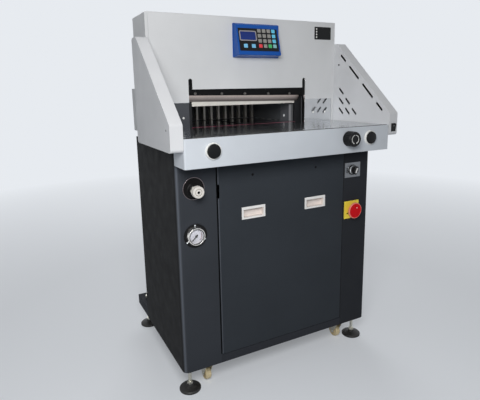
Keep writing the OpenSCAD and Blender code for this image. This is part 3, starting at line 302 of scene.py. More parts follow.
def plastic(name, code, rough=(0.3, 0.42), grain=0.5 * MM, relief=0.2, fade=0.05, shine=0.5):
    """Moulded plastic: eroded mould grain, faint flow marks, handling sheen on edges."""
    g = Graph(name)
    colour = hexed(code)
    soft, rim = g.edges(0.6 * MM)
    flow = g.noise(30 * MM, 3.0)
    pores = g.noise(grain, 2.0)
    tone = g.mix(g.span(flow, *MOST), shade(colour, 1 - fade), shade(colour, 1 + fade))
    tone = g.mix(g.span(pores, 0.45, 0.75, 0.0, 0.08), tone, shade(colour, 1.6))
    tone = g.mix(g.math("MULTIPLY", rim, 0.3), tone, shade(colour, 1.35))
    sheen = g.math("SUBTRACT", g.span(g.noise(12 * MM, 4.0), *MOST, *rough), g.math("MULTIPLY", rim, 0.1))
    g.set(base_color=tone, roughness=sheen, specular_ior_level=shine,
          normal=g.bump(pores, relief, 0.06 * MM, soft))
    return g.material


def two_tone(name, codes, axis, limit, rough, bare):
    """Two tones in one piece that meet at a plane: code, roughness and bare metal below and above it.

    On the side frames one tone is painted shade, on the guide covers one tone is a painted reflection.
    """
    g = Graph(name)
    soft, rim = g.edges(0.7 * MM)
    above = g.beyond(axis, limit)
    lines = g.noise(0.5 * MM, 3.0, (1, 1, 0.08))
    film = g.noise(40 * MM, 4.0)
    colours = [hexed(code) for code in codes]
    tone = g.mix(above, *colours)
    tone = g.mix(g.span(film, *MOST, 0.0, 0.18), tone, g.mix(above, *(shade(c, 0.7) for c in colours)))
    tone = g.mix(g.math("MULTIPLY", rim, 0.35), tone, g.mix(above, *(shade(c, 1.4) for c in colours)))
    below_metal, above_metal = (float(share) for share in bare)
    metallic = below_metal if below_metal == above_metal else g.blend(above, below_metal, above_metal)
    spread = g.span(g.math("ADD", lines, film), 0.7, 1.3, -0.05, 0.05)
    g.set(base_color=tone, metallic=metallic, specular_ior_level=0.3,
          roughness=g.math("ADD", g.blend(above, *rough), spread),
          normal=g.bump(lines, 0.12, 0.03 * MM, soft))
    return g.material


def rubber(name, code):
    """Moulded rubber: matt, dusty in its pores, scuffed along edges."""
    g = Graph(name)
    colour = hexed(code)
    soft, rim = g.edges(1.2 * MM)
    dust = g.noise(18 * MM, 5.0)
    tone = g.mix(g.span(dust, 0.5, 0.8, 0.0, 0.5), colour, hexed(RUBBER_DUST))
    tone = g.mix(g.math("MULTIPLY", rim, 0.4), tone, shade(colour, 2.2))
    g.set(base_color=tone, roughness=g.span(dust, *MOST, 0.5, 0.75),
          normal=g.bump(g.noise(0.7 * MM, 2.0), 0.35, 0.1 * MM, soft))
    return g.material


def clear(name, code):
    """Thin window of the pressure gauge: clear, with a little dust that scatters."""
    g = Graph(name)
    dust = g.noise(1.5 * MM, 3.0)
    g.set(base_color=g.mix(g.span(dust, 0.6, 0.8, 0.0, 0.1), hexed("ffffff"), hexed(code)),
          roughness=g.span(dust, 0.55, 0.8, 0.02, 0.1), alpha=g.span(dust, 0.4, 0.8, 0.03, 0.1), ior=1.46)
    return g.material


def screen(name, code):
    """Switched-off display: dark dots in a grid under a glossy pane."""
    g = Graph(name)
    colour = hexed(code)
    x, _, z = g.parts()
    waves = [g.math("SINE", g.math("MULTIPLY", along, math.pi / DISPLAY_DOT)) for along in (x, z)]
    grid = g.math("MINIMUM", *(g.math("ABSOLUTE", wave) for wave in waves))
    tone = g.mix(g.span(grid, 0.0, 0.5), shade(colour, 0.75), colour)
    tone = g.mix(g.span(g.noise(50 * MM, 2.0), *MOST, 0.0, 0.35), tone, shade(colour, 1.5))
    g.set(base_color=tone, specular_ior_level=0.25,
          roughness=g.span(g.noise(10 * MM, 4.0), *MOST, 0.12, 0.24),
          normal=g.bump(grid, 0.05, 0.03 * MM))
    return g.material


# Lay of brushed or ground lines, and roughness of the cabinet's matt paint

ALONG_X = (0.05, 1, 1)
ALONG_Z = (1, 1, 0.06)
MATT = (0.6, 0.75)
MATERIALS = {
    "grey_paint": painted("grey_powder_coat", "cfd0d1", shine=0.3),
    "anthracite_paint": painted("anthracite_powder_coat", "34363b", grain=1.0 * MM, gloss=MATT, shine=0.05),
    "polished_steel": metal("polished_steel", "c4c7ca", rough=(0.03, 0.09), lay=ALONG_X, marks=0.12),
    "machined_steel": metal("machined_steel", "a9acb0", rough=(0.24, 0.38), lay=ALONG_Z),
    "cast_paint": cast_painted("casting_paint", "3f4144", shine=0.25),
    "black_steel": painted("black_oxide", "0c0c0d", grain=0.6 * MM, gloss=(0.35, 0.5), wear_and_highlight=0.3, shine=0.1),
    # Knife: darker towards its lower edge
    "knife_steel": metal("ground_knife_steel", "dccac0", rough=(0.26, 0.36), lay=(0.02, 1, 1), line=0.25 * MM,
                         marks=0.15, darker_below=("857b76", 0.0175, 0.998, 1.01)),
    "red_plastic": plastic("red_stick", "ff6a90", rough=(0.4, 0.55), fade=0.1),
    "blue_paint": painted("blue_enamel", "0e4c9c", grain=1.1 * MM, gloss=(0.3, 0.42), peel=0.2, shine=0.25),
    "black_plastic": plastic("black_plastic", "0c0c0d", shine=0.2),
    "chrome": metal("chrome", "dcdee0", rough=(0.05, 0.12), marks=0.1),
    "clear_glass": clear("gauge_window", "e4ecef"),
    "cream_plastic": plastic("cream_plastic", "e6dfcf", rough=(0.28, 0.4)),
    # Valve body: near black, darkened further as painted shade inside the regulator's hole
    "valve_metal": cast_painted("valve_body_black", "0d0b0c", shine=0.15),
    "white_plastic": plastic("white_plastic", "e4e4e0"),
    "switch_plate": metal("brushed_aluminium", "7f8184", rough=(0.28, 0.42), lay=ALONG_X),
    "yellow_plastic": plastic("yellow_plastic", "ffe650", shine=0.3),
    "red_knob": plastic("red_plastic_knob", "d20f19", rough=(0.35, 0.45), shine=0.12),
    "unit_paint": cast_painted("hydraulic_unit_paint", "5b5f63"),
    "motor_paint": cast_painted("motor_paint", "3d5a73"),
    "box_plastic": painted("electrical_box_paint", "c2c6c8"),
    "zinc": zinc_plated("zinc_plate", "c6c4ba"),
    "black_rubber": rubber("black_rubber", "171615"),
    "nylon": plastic("cast_nylon", "d9c79d", rough=(0.35, 0.5), fade=0.08),
}


# Mesh helpers. SEAT and MARK_SEAT are how far fittings and marks are sunk into what carries them

SEAT = -0.2
MARK_SEAT = -0.1
CORNER_STEPS = 5
SMOOTH_BELOW = math.radians(32)


def facing(origin, normal, up=(0, 0, 1)):
    """Matrix from millimetres right, up and out of a surface to metres in the frame."""
    out = Vector(normal).normalized()
    right = Vector(up).cross(out).normalized()
    turn = Matrix((right, out.cross(right), out)).transposed().to_4x4()
    return Matrix.Translation(Vector(origin) * MM) @ turn @ Matrix.Scale(MM, 4)


def on_front(x, z, y):
    """Surface that looks to the front."""
    return facing((x, y, z), (0, -1, 0))


def on_side(x, y, z):
    """Surface that looks to the middle plane."""
    return facing((x, y, z), (-math.copysign(1, x), 0, 0))


def on_top(x, y, z):
    """Surface that looks up."""
    return facing((x, y, z), (0, 0, 1), (0, 1, 0))


def moved(place, x, y, z=0.0):
    return place @ Matrix.Translation((x, y, z))


def turned(place, degrees):
    return place @ Matrix.Rotation(math.radians(degrees), 4, "Z")


class Shape:
    """Mesh made of several closed forms, drawn in millimetres in a surface's own frame."""

    def __init__(self):
        self.mesh = bmesh.new()

    def loops(self, place, rings):
        return [[self.mesh.verts.new(place @ Vector(p)) for p in ring] for ring in rings]

    def skin(self, low, high):
        """Faces between two loops of the same number of points."""
        for i in range(len(low)):
            j = (i + 1) % len(low)
            self.mesh.faces.new((low[i], low[j], high[j], high[i]))

    def stack(self, place, rings):
        """Closed skin through rings of the same number of points, capped at both ends."""
        loops = self.loops(place, rings)
        for low, high in zip(loops, loops[1:]):
            self.skin(low, high)
        self.mesh.faces.new(list(reversed(loops[0])))
        self.mesh.faces.new(loops[-1])

    def band(self, place, rings):
        """Closed skin through rings that come back to the first one."""
        loops = self.loops(place, rings)
        for low, high in zip(loops, loops[1:] + loops[:1]):
            self.skin(low, high)

    def piece(self, name, slot, body, material=None):
        """Object that rides on a body, in its slot's material or in one of its own."""
        bmesh.ops.recalc_face_normals(self.mesh, faces=self.mesh.faces)
        data = bpy.data.meshes.new(name)
        self.mesh.to_mesh(data)
        self.mesh.free()
        data.polygons.foreach_set("use_smooth", [True] * len(data.polygons))
        data.set_sharp_from_angle(angle=SMOOTH_BELOW)
        data.materials.append(material or MATERIALS[slot])
        made = bpy.data.objects.new(name, data)
        SCENE.collection.objects.link(made)
        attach(made, body)


def ring(radius, height, count):
    """Points of a circle, or of another outline where radius is a function of the angle."""
    points = []
    for i in range(count):
        a = 2 * math.pi * i / count
        r = radius(a) if callable(radius) else radius
        points.append((r * math.cos(a), r * math.sin(a), height))
    return points


def rings(profile, count=64):
    """Rings of a turned form, from its radii and heights."""
    return [ring(radius, height, count) for radius, height in profile]


def cross_of(arm, half):
    """Outline of a cross: arm length and half width."""
    def radius(a):
        c, s = abs(math.cos(a)) + 1e-9, abs(math.sin(a)) + 1e-9
        return max(min(arm / c, half / s), min(half / c, arm / s))
    return radius


def hexagon_of(across):
    def radius(a):
        return across / 2 / math.cos((a % (math.pi / 3)) - math.pi / 6)
    return radius


def rounded(w, h, r, height):
    """Points of a rectangle with round corners, middle at the origin."""
    points = []
    for k, (sx, sy) in enumerate(((1, 1), (-1, 1), (-1, -1), (1, -1))):
        for i in range(CORNER_STEPS + 1):
            a = math.pi / 2 * (k + i / CORNER_STEPS)
            points.append((sx * (w / 2 - r) + r * math.cos(a), sy * (h / 2 - r) + r * math.sin(a), height))
    return points


def pan_head(shape, place, r, h):
    """Pan-head screw with a cross recess."""
    recess = cross_of(0.55 * r, 0.16 * r)
    shape.stack(place, rings(((r, SEAT), (r, 0.3 * h), (0.86 * r, 0.72 * h), (0.62 * r, h), (recess, h),
                              (recess, 0.45 * h)), 32))


def cap_head(shape, place, r, h):
    """Socket-head screw."""
    socket = hexagon_of(1.05 * r)
    shape.stack(place, rings(((r, SEAT), (r, 0.85 * h), (0.92 * r, h), (socket, h), (socket, 0.35 * h)), 36))


def plate(shape, place, w, h, t, r, bevel):
    """Flat plate with round corners and a bevelled edge."""
    shape.stack(place, [rounded(w, h, r, SEAT), rounded(w, h, r, t - bevel),
                        rounded(w - 2 * bevel, h - 2 * bevel, r - bevel / 2, t)])


def disc(shape, place, r, t, rise=0.0):
    """Low round stud with a softened rim and a domed face."""
    shape.stack(place, rings(((r, SEAT), (r, 0.7 * t), (0.85 * r, t), (0.45 * r, t + 0.7 * rise),
                              (0.1 * r, t + rise)), 32))


def slab(shape, place, corners, low, high):
    """Flat form with straight sides."""
    shape.stack(place, [[(x, y, height) for x, y in corners] for height in (low, high)])


def arc_mark(shape, place, radius, width, start, end, t=0.25, steps=32):
    """Raised arc on a face, from start to end degrees."""
    sections = []
    inner, outer = radius - width / 2, radius + width / 2
    for i in range(steps + 1):
        a = math.radians(start + (end - start) * i / steps)
        c, s = math.cos(a), math.sin(a)
        sections.append([(inner * c, inner * s, MARK_SEAT), (outer * c, outer * s, MARK_SEAT),
                         (outer * c, outer * s, t), (inner * c, inner * s, t)])
    shape.stack(place, sections)


def bar_mark(shape, place, a, b, width, t=0.25):
    """Raised straight mark between two points of a face."""
    along = Vector((b[0] - a[0], b[1] - a[1])).normalized() * (width / 2)
    side = Vector((-along.y, along.x))
    slab(shape, place, [Vector(a) - side, Vector(b) - side, Vector(b) + side, Vector(a) + side], MARK_SEAT, t)


# Solids take their finish from the record's slots, some of them one of their own

X, Y, Z = range(3)
# Wings: painted shade on the inner faces of their hollow skins, seen through the slots, and a flush dark
# screw
WING_PAINT = painted("wing_powder_coat", "cccdcf", shine=0.3, hollow=(0.4005, 0.4395),
                     screws=[(-0.341, 0.9268)])
# Side frames: near black in front of a plane as painted shade on their front faces, grey paint behind it
UPRIGHT_PAINT_AND_SHADE = two_tone("upright_paint_and_front_shade", ("191a1c", "5d5f63"), axis=Y, limit=0.006, rough=(0.55, 0.5),
                            bare=(0, 0))
COLUMN_CORNER = (0.388, -0.2705)


# Column paints: a painted highlight round the front corner, painted shade on the faces that look sideways,
# and the left column painted lighter than the right as painted light falling off across the front
def column_paint(name, code, side):
    return painted(name, code, grain=1.0 * MM, gloss=MATT, shine=0.05, corner=COLUMN_CORNER, side=side)


SPECIAL = {
    "left_cabinet_panel": column_paint("left_column_powder_coat_painted_lighter", "383b40", (0.56, 0.51, 0.45)),
    "right_cabinet_panel": column_paint("right_column_powder_coat_painted_darker", "2e3034", (0.90, 0.84, 0.74)),
    # Access panel: wide light edges, from wear and a painted highlight along its folds
    "access_panel": painted("panel_powder_coat", "363a3f", grain=1.0 * MM, gloss=MATT, wear_and_highlight=0.9,
                            edge=2.2 * MM, shine=0.05),
    "regulator_knob": plastic("pale_knob", "dad5ce", rough=(0.28, 0.4)),
    "gauge_bezel": metal("gauge_bezel_steel", "f2eee8", rough=(0.15, 0.24), marks=0.1),
    "clamp_beam": metal("clamp_face", "dfd9cf", rough=(0.3, 0.42), lay=(0.06, 1, 1)),
    "front_apron": painted("apron_powder_coat", "c3c8ce", shine=0.3),
    "left_wing": WING_PAINT,
    "right_wing": WING_PAINT,
    # Guide covers: the left one darker as a painted reflection, the right one bright polished steel
    "guide_covers": two_tone("polished_covers_painted_reflection", ("535457", "e2e4e6"), axis=X, limit=0.0,
                               rough=(0.16, 0.08), bare=(1, 1)),
    "front_table": metal("ground_table_steel", "c4c7ca", rough=(0.12, 0.2), lay=ALONG_X, marks=0.12),
    "rear_table": two_tone("rear_table_steel", ("b9bcc0", "4a4c4f"), axis=Z, limit=0.9035,
                             rough=(0.08, 0.5), bare=(1, 0)),
    "back_gauge": two_tone("gauge_comb", ("aaa59e", "101011"), axis=Y, limit=0.3515,
                             rough=(0.4, 0.5), bare=(0.5, 0)),
    "recessed_grips": two_tone("grip_plastic", ("f4f2ef", "ece3dd"), axis=Y, limit=-0.2825,
                                 rough=(0.35, 0.42), bare=(0, 0)),
    "left_upright": UPRIGHT_PAINT_AND_SHADE,
    "right_upright": UPRIGHT_PAINT_AND_SHADE,
    "clamp_rods": metal("oiled_rods", "3a3b3d", rough=(0.4, 0.5)),
    "selector_knob": two_tone("selector_finish", ("0d0d0e", "f4f5f5"), axis=Y, limit=-0.2932,
                                rough=(0.3, 0.22), bare=(0, 0.8)),
}
for name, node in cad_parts.items():
    for holder in node.material_slots:
        key = holder.material.name.split(".")[0] if holder.material else ""
        holder.material = SPECIAL.get(name) or MATERIALS.get(key, MATERIALS["grey_paint"])

# Places in millimetres, as in the part's solids

HOUSING_FRONT = -50
CABINET_FRONT = -282
TABLE_TOP = 902
GUIDE_FRONT = -47
CARRIER_FRONT = -40
UPRIGHT_FACE = 230
CHEEK_FACE = 400
DIALS_X = -340
GAUGE_Z = 576
DIAL_BACK = -285
NEEDLE_FRONT = -290
HOLE_Z = 733
KNOB_Z = 728.5
DIAL_KNOB_FRONT = -411.5
SWITCHES_X = 311
SELECTOR_Z = 729
SELECTOR_PLATE_FRONT = -285
SELECTOR_KNOB_FRONT = -308
ISOLATOR_Z = 572
ISOLATOR_PLATE_FRONT = -286
ISOLATOR_KNOB_FRONT = -309

# Control box: display and keys on the sloped face

BOX_RUN, BOX_RISE = 28, 110
BOX_SLOPE = math.atan2(BOX_RUN, BOX_RISE)
BOX_OUT = (0, -math.cos(BOX_SLOPE), math.sin(BOX_SLOPE))
BOX_UP = (0, math.sin(BOX_SLOPE), math.cos(BOX_SLOPE))
KEY_PLATE_THICK = 0.4
KEY_PLATE = moved(facing((0, -100, 1162), BOX_OUT, BOX_UP), 0, 0, KEY_PLATE_THICK)
DISPLAY = moved(KEY_PLATE, -27, 71)
# Width, height, corner radius and level of each step of the frame
DISPLAY_FRAME = ((71, 38, 6, 0.0), (71, 38, 6, 1.4), (69, 36, 5.2, 2.0), (64.5, 31.5, 3.6, 2.0),
                 (63, 30, 3, 0.7), (63, 30, 3, 0.0))
display_frame = Shape()
display_frame.band(DISPLAY, [rounded(*step) for step in DISPLAY_FRAME])
display_frame.piece("display_frame", "white_plastic", "frame",
                    plastic("display_frame_plastic", "928e92", rough=(0.3, 0.45)))
pane = Shape()
plate(pane, DISPLAY, w=64, h=31, t=0.6, r=3, bevel=0.2)
pane.piece("display_screen", "black_plastic", "frame", screen("display_dots", "122a6e"))

KEY_TONES = {"grey": "8b8984", "cyan": "62c4e2", "sky": "78bfe6", "red": "dc3a44", "green": "43b56a",
             "pale": "7fb9bd"}
KEY_COLUMNS = (22, 42.3, 62.7, 83)
UPPER_ROWS = (91.5, 72.5, 53.5)
LAST_ROW = 34.5
KEY_SIZE = (14.5, 13.5)
SKY_KEY_SIZE = (16, 14)
KEY_PLACES = {
    "grey": [(x, y) for y in UPPER_ROWS for x in KEY_COLUMNS[:3]] + [(KEY_COLUMNS[1], LAST_ROW)],
    "cyan": [(KEY_COLUMNS[3], y) for y in UPPER_ROWS],
    "sky": [(-41, 33.5), (-8, 33.5)],
    "red": [(KEY_COLUMNS[0], LAST_ROW)],
    "green": [(KEY_COLUMNS[2], LAST_ROW)],
    "pale": [(KEY_COLUMNS[3], LAST_ROW)],
}
for tone, places in KEY_PLACES.items():
    w, h = SKY_KEY_SIZE if tone == "sky" else KEY_SIZE
    keys = Shape()
    for x, y in places:
        steps = [(w, h, 2, SEAT), (w, h, 2, 0.6), (w - 1, h - 1, 1.8, 1.0), (w - 5, h - 5, 1.5, 1.25)]
        keys.stack(moved(KEY_PLATE, x, y), [rounded(*step) for step in steps])
    keys.piece(f"keys_{tone}", "white_plastic", "frame",
               plastic(f"key_{tone}", KEY_TONES[tone], rough=(0.35, 0.5), grain=0.3 * MM))

# Flange round the foot of the control box, wider on its right: width, height and corner radius

FOOT = on_front(17, 1216, HOUSING_FRONT)
FLANGE_INNER = (178, 120, 2)
FLANGE_OUTER = (199, 123, 4)
FLANGE_TOP = (198.2, 122.2, 3.6)
FLANGE_SHIFT = (8.0, 0.5)
FLANGE_THICK = 2.0
FLANGE_SIDE = 1.6


def shifted(points):
    return [(x + FLANGE_SHIFT[0], y + FLANGE_SHIFT[1], z) for x, y, z in points]


flange = Shape()
flange.band(FOOT, [rounded(*FLANGE_INNER, SEAT), shifted(rounded(*FLANGE_OUTER, SEAT)),
                   shifted(rounded(*FLANGE_OUTER, FLANGE_SIDE)), shifted(rounded(*FLANGE_TOP, FLANGE_THICK)),
                   rounded(*FLANGE_INNER, FLANGE_THICK)])
flange.piece("control_flange", "blue_paint", "frame")

# Bare plate on the front cover with four plain dots

COVER_PLATE = on_front(338, 1256.5, HOUSING_FRONT)
COVER_PLATE_THICK = 1.0
bare_plate = Shape()
plate(bare_plate, COVER_PLATE, w=82, h=49, t=COVER_PLATE_THICK, r=2.5, bevel=0.3)
bare_plate.piece("cover_plate", "black_plastic", "frame")
dots = Shape()
for height in (16, 5.5, -5, -15.5):
    disc(dots, moved(COVER_PLATE, -31, height, COVER_PLATE_THICK), r=3.1, t=0.4, rise=0.3)
dots.piece("plate_dots", "white_plastic", "frame")

# Pressure gauge: dial, scale, dark ring at its window for the gasket and painted shade inside the bezel,
# limit arc darkened by painted shadow, needle's blade and flange screws

GAUGE = on_front(DIALS_X, GAUGE_Z, DIAL_BACK)
DIAL_THICK = 0.4
DIAL_FACE = moved(GAUGE, 0, 0, DIAL_THICK)
SCALE_FROM, SCALE_SPAN, SCALE_STEPS = 225.0, 270.0, 50
SCALE_END = 22.5
SCALE_THICK = 0.12
# Inner radius and width of the scale's lines
TENTH_LINE, FIFTH_LINE, OTHER_LINE = (17.5, 0.9), (19.5, 0.45), (20.5, 0.45)
dial = Shape()
dial.stack(GAUGE, rings(((26.3, MARK_SEAT), (26.3, 0.25), (26.0, DIAL_THICK))))
dial.piece("gauge_dial", "white_plastic", "frame",
           plastic("dial_white", "dcdce6", rough=(0.4, 0.5), relief=0.05))
scale = Shape()
for i in range(SCALE_STEPS + 1):
    a = math.radians(SCALE_FROM - SCALE_SPAN * i / SCALE_STEPS)
    start, width = OTHER_LINE
    if i % 10 == 0:
        start, width = TENTH_LINE
    elif i % 5 == 0:
        start, width = FIFTH_LINE
    line = [(r * math.cos(a), r * math.sin(a)) for r in (start, SCALE_END)]
    bar_mark(scale, DIAL_FACE, *line, width, SCALE_THICK)
arc_mark(scale, DIAL_FACE, radius=22.8, width=0.5, start=SCALE_FROM, end=SCALE_FROM - SCALE_SPAN,
         t=SCALE_THICK, steps=64)
scale.piece("gauge_scale", "black_plastic", "frame")
# Dark ring: the window's gasket, darkened as painted shade of the bezel's inner wall
gasket_and_shade = Shape()
gasket_and_shade.band(on_front(DIALS_X, GAUGE_Z, CABINET_FRONT),
            rings(((26.2, 12.55), (24.8, 12.6), (24.4, 13.1), (25.0, 13.6), (26.2, 13.7))))
gasket_and_shade.piece("gauge_gasket_and_shade", "black_rubber", "frame",
             plastic("gasket_rubber_and_shade", "1c1516", rough=(0.5, 0.6), shine=0.1))
# Red limit arc, darkened as the painted shadow of the bezel on the dial
limit_arc = Shape()
arc_mark(limit_arc, DIAL_FACE, radius=20.6, width=1.6, start=-40, end=28, t=0.1)
limit_arc.piece("gauge_limit", "red_plastic", "frame", plastic("limit_red_and_shadow", "a06c72", rough=(0.4, 0.5)))
NEEDLE = turned(on_front(DIALS_X, GAUGE_Z, NEEDLE_FRONT), -135)
# Tail and pointer: distance from the pin and half width at either end
BLADE = (((-6.8, 2.1), (-3.0, 1.9)), ((3.0, 1.7), (20.5, 0.9)))
BLADE_LOW, BLADE_HIGH = -0.3, 0.4
blade = Shape()
for start, end in BLADE:
    corners = [(start[0], -start[1]), (end[0], -end[1]), end, start]
    slab(blade, NEEDLE, corners, BLADE_LOW, BLADE_HIGH)
blade.band(NEEDLE, rings(((2.2, BLADE_LOW), (4.2, BLADE_LOW), (4.2, 0.5), (3.6, 0.9), (2.2, 0.9)), 32))
blade.piece("needle_blade", "black_plastic", "gauge_needle", plastic("needle_black", "040405", shine=0.05))
GAUGE_SCREW_CIRCLE = 35.5
flange_screws = Shape()
for degrees in (92, 212, 335):
    a = math.radians(degrees)
    hole = moved(GAUGE, GAUGE_SCREW_CIRCLE * math.cos(a), GAUGE_SCREW_CIRCLE * math.sin(a), -1.0)
    pan_head(flange_screws, hole, r=3.4, h=2.0)
flange_screws.piece("gauge_screws", "chrome", "frame")

# Regulator: trim of its hole, hexagon nut on the neck, socket plug, and a darker band that paints the shade
# of the groove in the knob

hole_rim = Shape()
hole_rim.band(on_front(DIALS_X, HOLE_Z, CABINET_FRONT),
              rings(((35.0, MARK_SEAT), (35.0, 0.9), (35.6, 1.4), (36.6, 1.2), (37.2, MARK_SEAT))))
hole_rim.piece("regulator_rim", "valve_metal", "frame", metal("rim_metal", "8f8486", rough=(0.25, 0.35)))
KNOB_AXIS = on_front(DIALS_X, KNOB_Z, CABINET_FRONT)
NUT, NUT_CHAMFER = hexagon_of(30), hexagon_of(28)
nut = Shape()
nut.band(KNOB_AXIS, rings(((12.0, 12.0), (NUT_CHAMFER, 12.0), (NUT, 13.0), (NUT, 17.0), (NUT_CHAMFER, 18.0),
                           (12.0, 18.0)), 36))
nut.piece("regulator_nut", "zinc", "frame")
PLUG_SOCKET = hexagon_of(4.2)
knob_plug = Shape()
knob_plug.stack(KNOB_AXIS, rings(((4.1, 38.9), (4.1, 43.2), (3.7, 43.7), (PLUG_SOCKET, 43.7),
                                  (PLUG_SOCKET, 41.5)), 36))
knob_plug.piece("regulator_plug", "black_steel", "regulator_knob")
# Painted shade: a darker band where the knob's groove is
groove_shade = Shape()
groove_shade.band(KNOB_AXIS, rings(((10.0, 43.9), (11.7, 43.9), (11.7, 44.3), (10.0, 44.3))))
groove_shade.piece("regulator_groove_shade", "cream_plastic", "regulator_knob",
             plastic("groove_shade_tan", "9c948a", rough=(0.35, 0.45)))

# Dial knob: open ring that ends in two dots

DIAL_KNOB = on_front(207, 864, DIAL_KNOB_FRONT)
dial_mark = Shape()
for start, end in ((-55, 82), (98, 235)):
    arc_mark(dial_mark, DIAL_KNOB, radius=14.6, width=1.9, start=start, end=end, steps=24)
for x in (-6.4, 6.4):
    disc(dial_mark, moved(DIAL_KNOB, x, -13.3), r=2.1, t=0.3)
dial_mark.piece("dial_mark", "white_plastic", "dial_knob")

# Rocker: one short line

ROCKER = facing((422, -376, 898), (0, -1, 0.15))
rocker_mark = Shape()
bar_mark(rocker_mark, ROCKER, (0, -2.5), (0, 2.5), width=1.0)
rocker_mark.piece("rocker_mark", "white_plastic", "rocker")

# Selector: two marks on its plate, ring round its body, pale inlay in the knob

SELECTOR = on_front(SWITCHES_X, SELECTOR_Z, SELECTOR_PLATE_FRONT)
selector_marks = Shape()
bar_mark(selector_marks, SELECTOR, (-27, -9), (-27, 9), width=4.2, t=0.2)
bar_mark(selector_marks, SELECTOR, (27, -12), (27, -1), width=4.2, t=0.2)
selector_marks.piece("selector_marks", "black_plastic", "frame")
selector_ring = Shape()
selector_ring.band(SELECTOR, rings(((20, MARK_SEAT), (20, 1.4), (19.2, 2.2), (18.2, 2.2), (17.6, 1.4),
                                    (17.6, MARK_SEAT)), 48))
selector_ring.piece("selector_ring", "black_plastic", "frame")
SELECTOR_KNOB = turned(on_front(SWITCHES_X, SELECTOR_Z, SELECTOR_KNOB_FRONT), -20)
inlay = Shape()
plate(inlay, SELECTOR_KNOB, w=6.6, h=20, t=0.5, r=3.2, bevel=0.2)
inlay.piece("selector_inlay", "white_plastic", "selector_knob",
            plastic("inlay_grey", "d3d2d0", rough=(0.3, 0.4)))

# Isolator: screws of its plate, painted highlight on the knob's rim, and dot of the knob

ISOLATOR = on_front(SWITCHES_X, ISOLATOR_Z, ISOLATOR_PLATE_FRONT)
isolator_screws = Shape()
for x, y in ((-21, -14), (21, 14)):
    pan_head(isolator_screws, moved(ISOLATOR, x, y), r=3.0, h=1.4)
isolator_screws.piece("isolator_screws", "black_steel", "frame")
KNOB_FACE = on_front(SWITCHES_X, ISOLATOR_Z, ISOLATOR_KNOB_FRONT)
# Painted highlight: a light ring along the knob's rounded rim
knob_rim_highlight = Shape()
knob_rim_highlight.band(KNOB_FACE, rings(((27.6, -0.3), (28.0, 0.3), (30.2, -0.8), (31.3, -2.95), (31.3, -4.9),
                                (30.5, -4.9), (29.5, -1.4))))
knob_rim_highlight.piece("isolator_rim_highlight", "red_knob", "isolator_knob", plastic("rim_red_highlight", "f08a78", rough=(0.3, 0.4)))
knob_dot = Shape()
disc(knob_dot, moved(KNOB_FACE, 7.5, 10, -1.0), r=2.6, t=0.4, rise=0.3)
knob_dot.piece("isolator_dot", "white_plastic", "isolator_knob",
               plastic("dot_pink", "f2cdc6", rough=(0.35, 0.45)))

# Knife carrier bolts

knife_bolts = Shape()
for x, z in ((-226, 1027), (-120, 1025), (-22, 1023.5), (82, 1021), (182, 1019)):
    cap_head(knife_bolts, on_front(x, z, CARRIER_FRONT), r=4.8, h=4.0)
knife_bolts.piece("knife_bolts", "black_steel", "knife_beam",
                  metal("bolt_steel", "6a6764", rough=(0.3, 0.42)))

# Screws of the guide covers and of the front panel

guide_screws = Shape()
for x, z in ((298, 940), (359, 940), (-277, 941), (-359, 940)):
    pan_head(guide_screws, on_front(x, z, GUIDE_FRONT), r=4.2, h=2.2)
guide_screws.piece("guide_cover_screws", "white_plastic", "frame")
panel_screws = Shape()
for x in (-125, 138):
    pan_head(panel_screws, on_front(x, 756, CABINET_FRONT), r=4.2, h=2.2)
panel_screws.piece("front_panel_screws", "black_steel", "front_panel")

# Seam at the panel's left: black strip on the column as painted shade in the gap, light strip on the panel's
# edge above and below its latch hole as a painted highlight on its fold

SEAM_WIDTH = 3.4
# Painted shade: a black strip where the gap between column and panel lies in shade
seam_shade_strip = Shape()
plate(seam_shade_strip, on_front(-259.9, 465, CABINET_FRONT), w=SEAM_WIDTH, h=680, t=0.5, r=0.4, bevel=0.15)
seam_shade_strip.piece("seam_shade_strip", "black_rubber", "frame",
                 plastic("seam_shade_black", "040404", rough=(0.6, 0.7), shine=0.03))
# Painted highlight: a light strip along the panel's folded left edge
panel_fold_highlight = Shape()
for low, high in ((124, 688), (736, 806)):
    middle = on_front(-254.0, (low + high) / 2, CABINET_FRONT)
    plate(panel_fold_highlight, middle, w=SEAM_WIDTH, h=high - low, t=0.4, r=0.4, bevel=0.15)
panel_fold_highlight.piece("panel_fold_highlight", "anthracite_paint", "front_panel",
                 painted("fold_highlight_powder_coat", "50545b", grain=1.0 * MM, gloss=(0.5, 0.65), shine=0.1))

# Screw in the right wing's cheek

cheek_screw = Shape()
pan_head(cheek_screw, on_side(CHEEK_FACE, -82, 1131), r=3.6, h=1.8)
cheek_screw.piece("cheek_screw", "black_steel", "frame")

# Side frames: two studs on the right one, ground strips that guide the clamp's ends on both

upright_studs = Shape()
for z in (924, 980):
    disc(upright_studs, on_side(UPRIGHT_FACE, 73, z), r=5.6, t=0.6, rise=0.9)
upright_studs.piece("upright_studs", "white_plastic", "frame", plastic("stud_white", "ffffff", relief=0.05))
guide_strips = Shape()
for x in (-UPRIGHT_FACE, UPRIGHT_FACE):
    plate(guide_strips, on_side(x, 20, 938), w=27, h=69, t=1.0, r=1.5, bevel=0.3)
guide_strips.piece("guide_strips", "machined_steel", "frame",
                   two_tone("strip_finish", ("8d8f91", "d6d8da"), axis=Y, limit=0.017,
                              rough=(0.45, 0.4), bare=(0.5, 0.5)))

# Table: plug, and a dark bead along the joint with the apron that paints the shade of the joint

table_plug = Shape()
disc(table_plug, on_top(239, -311, TABLE_TOP), r=3.6, t=0.25)
table_plug.piece("table_plug", "black_plastic", "frame")
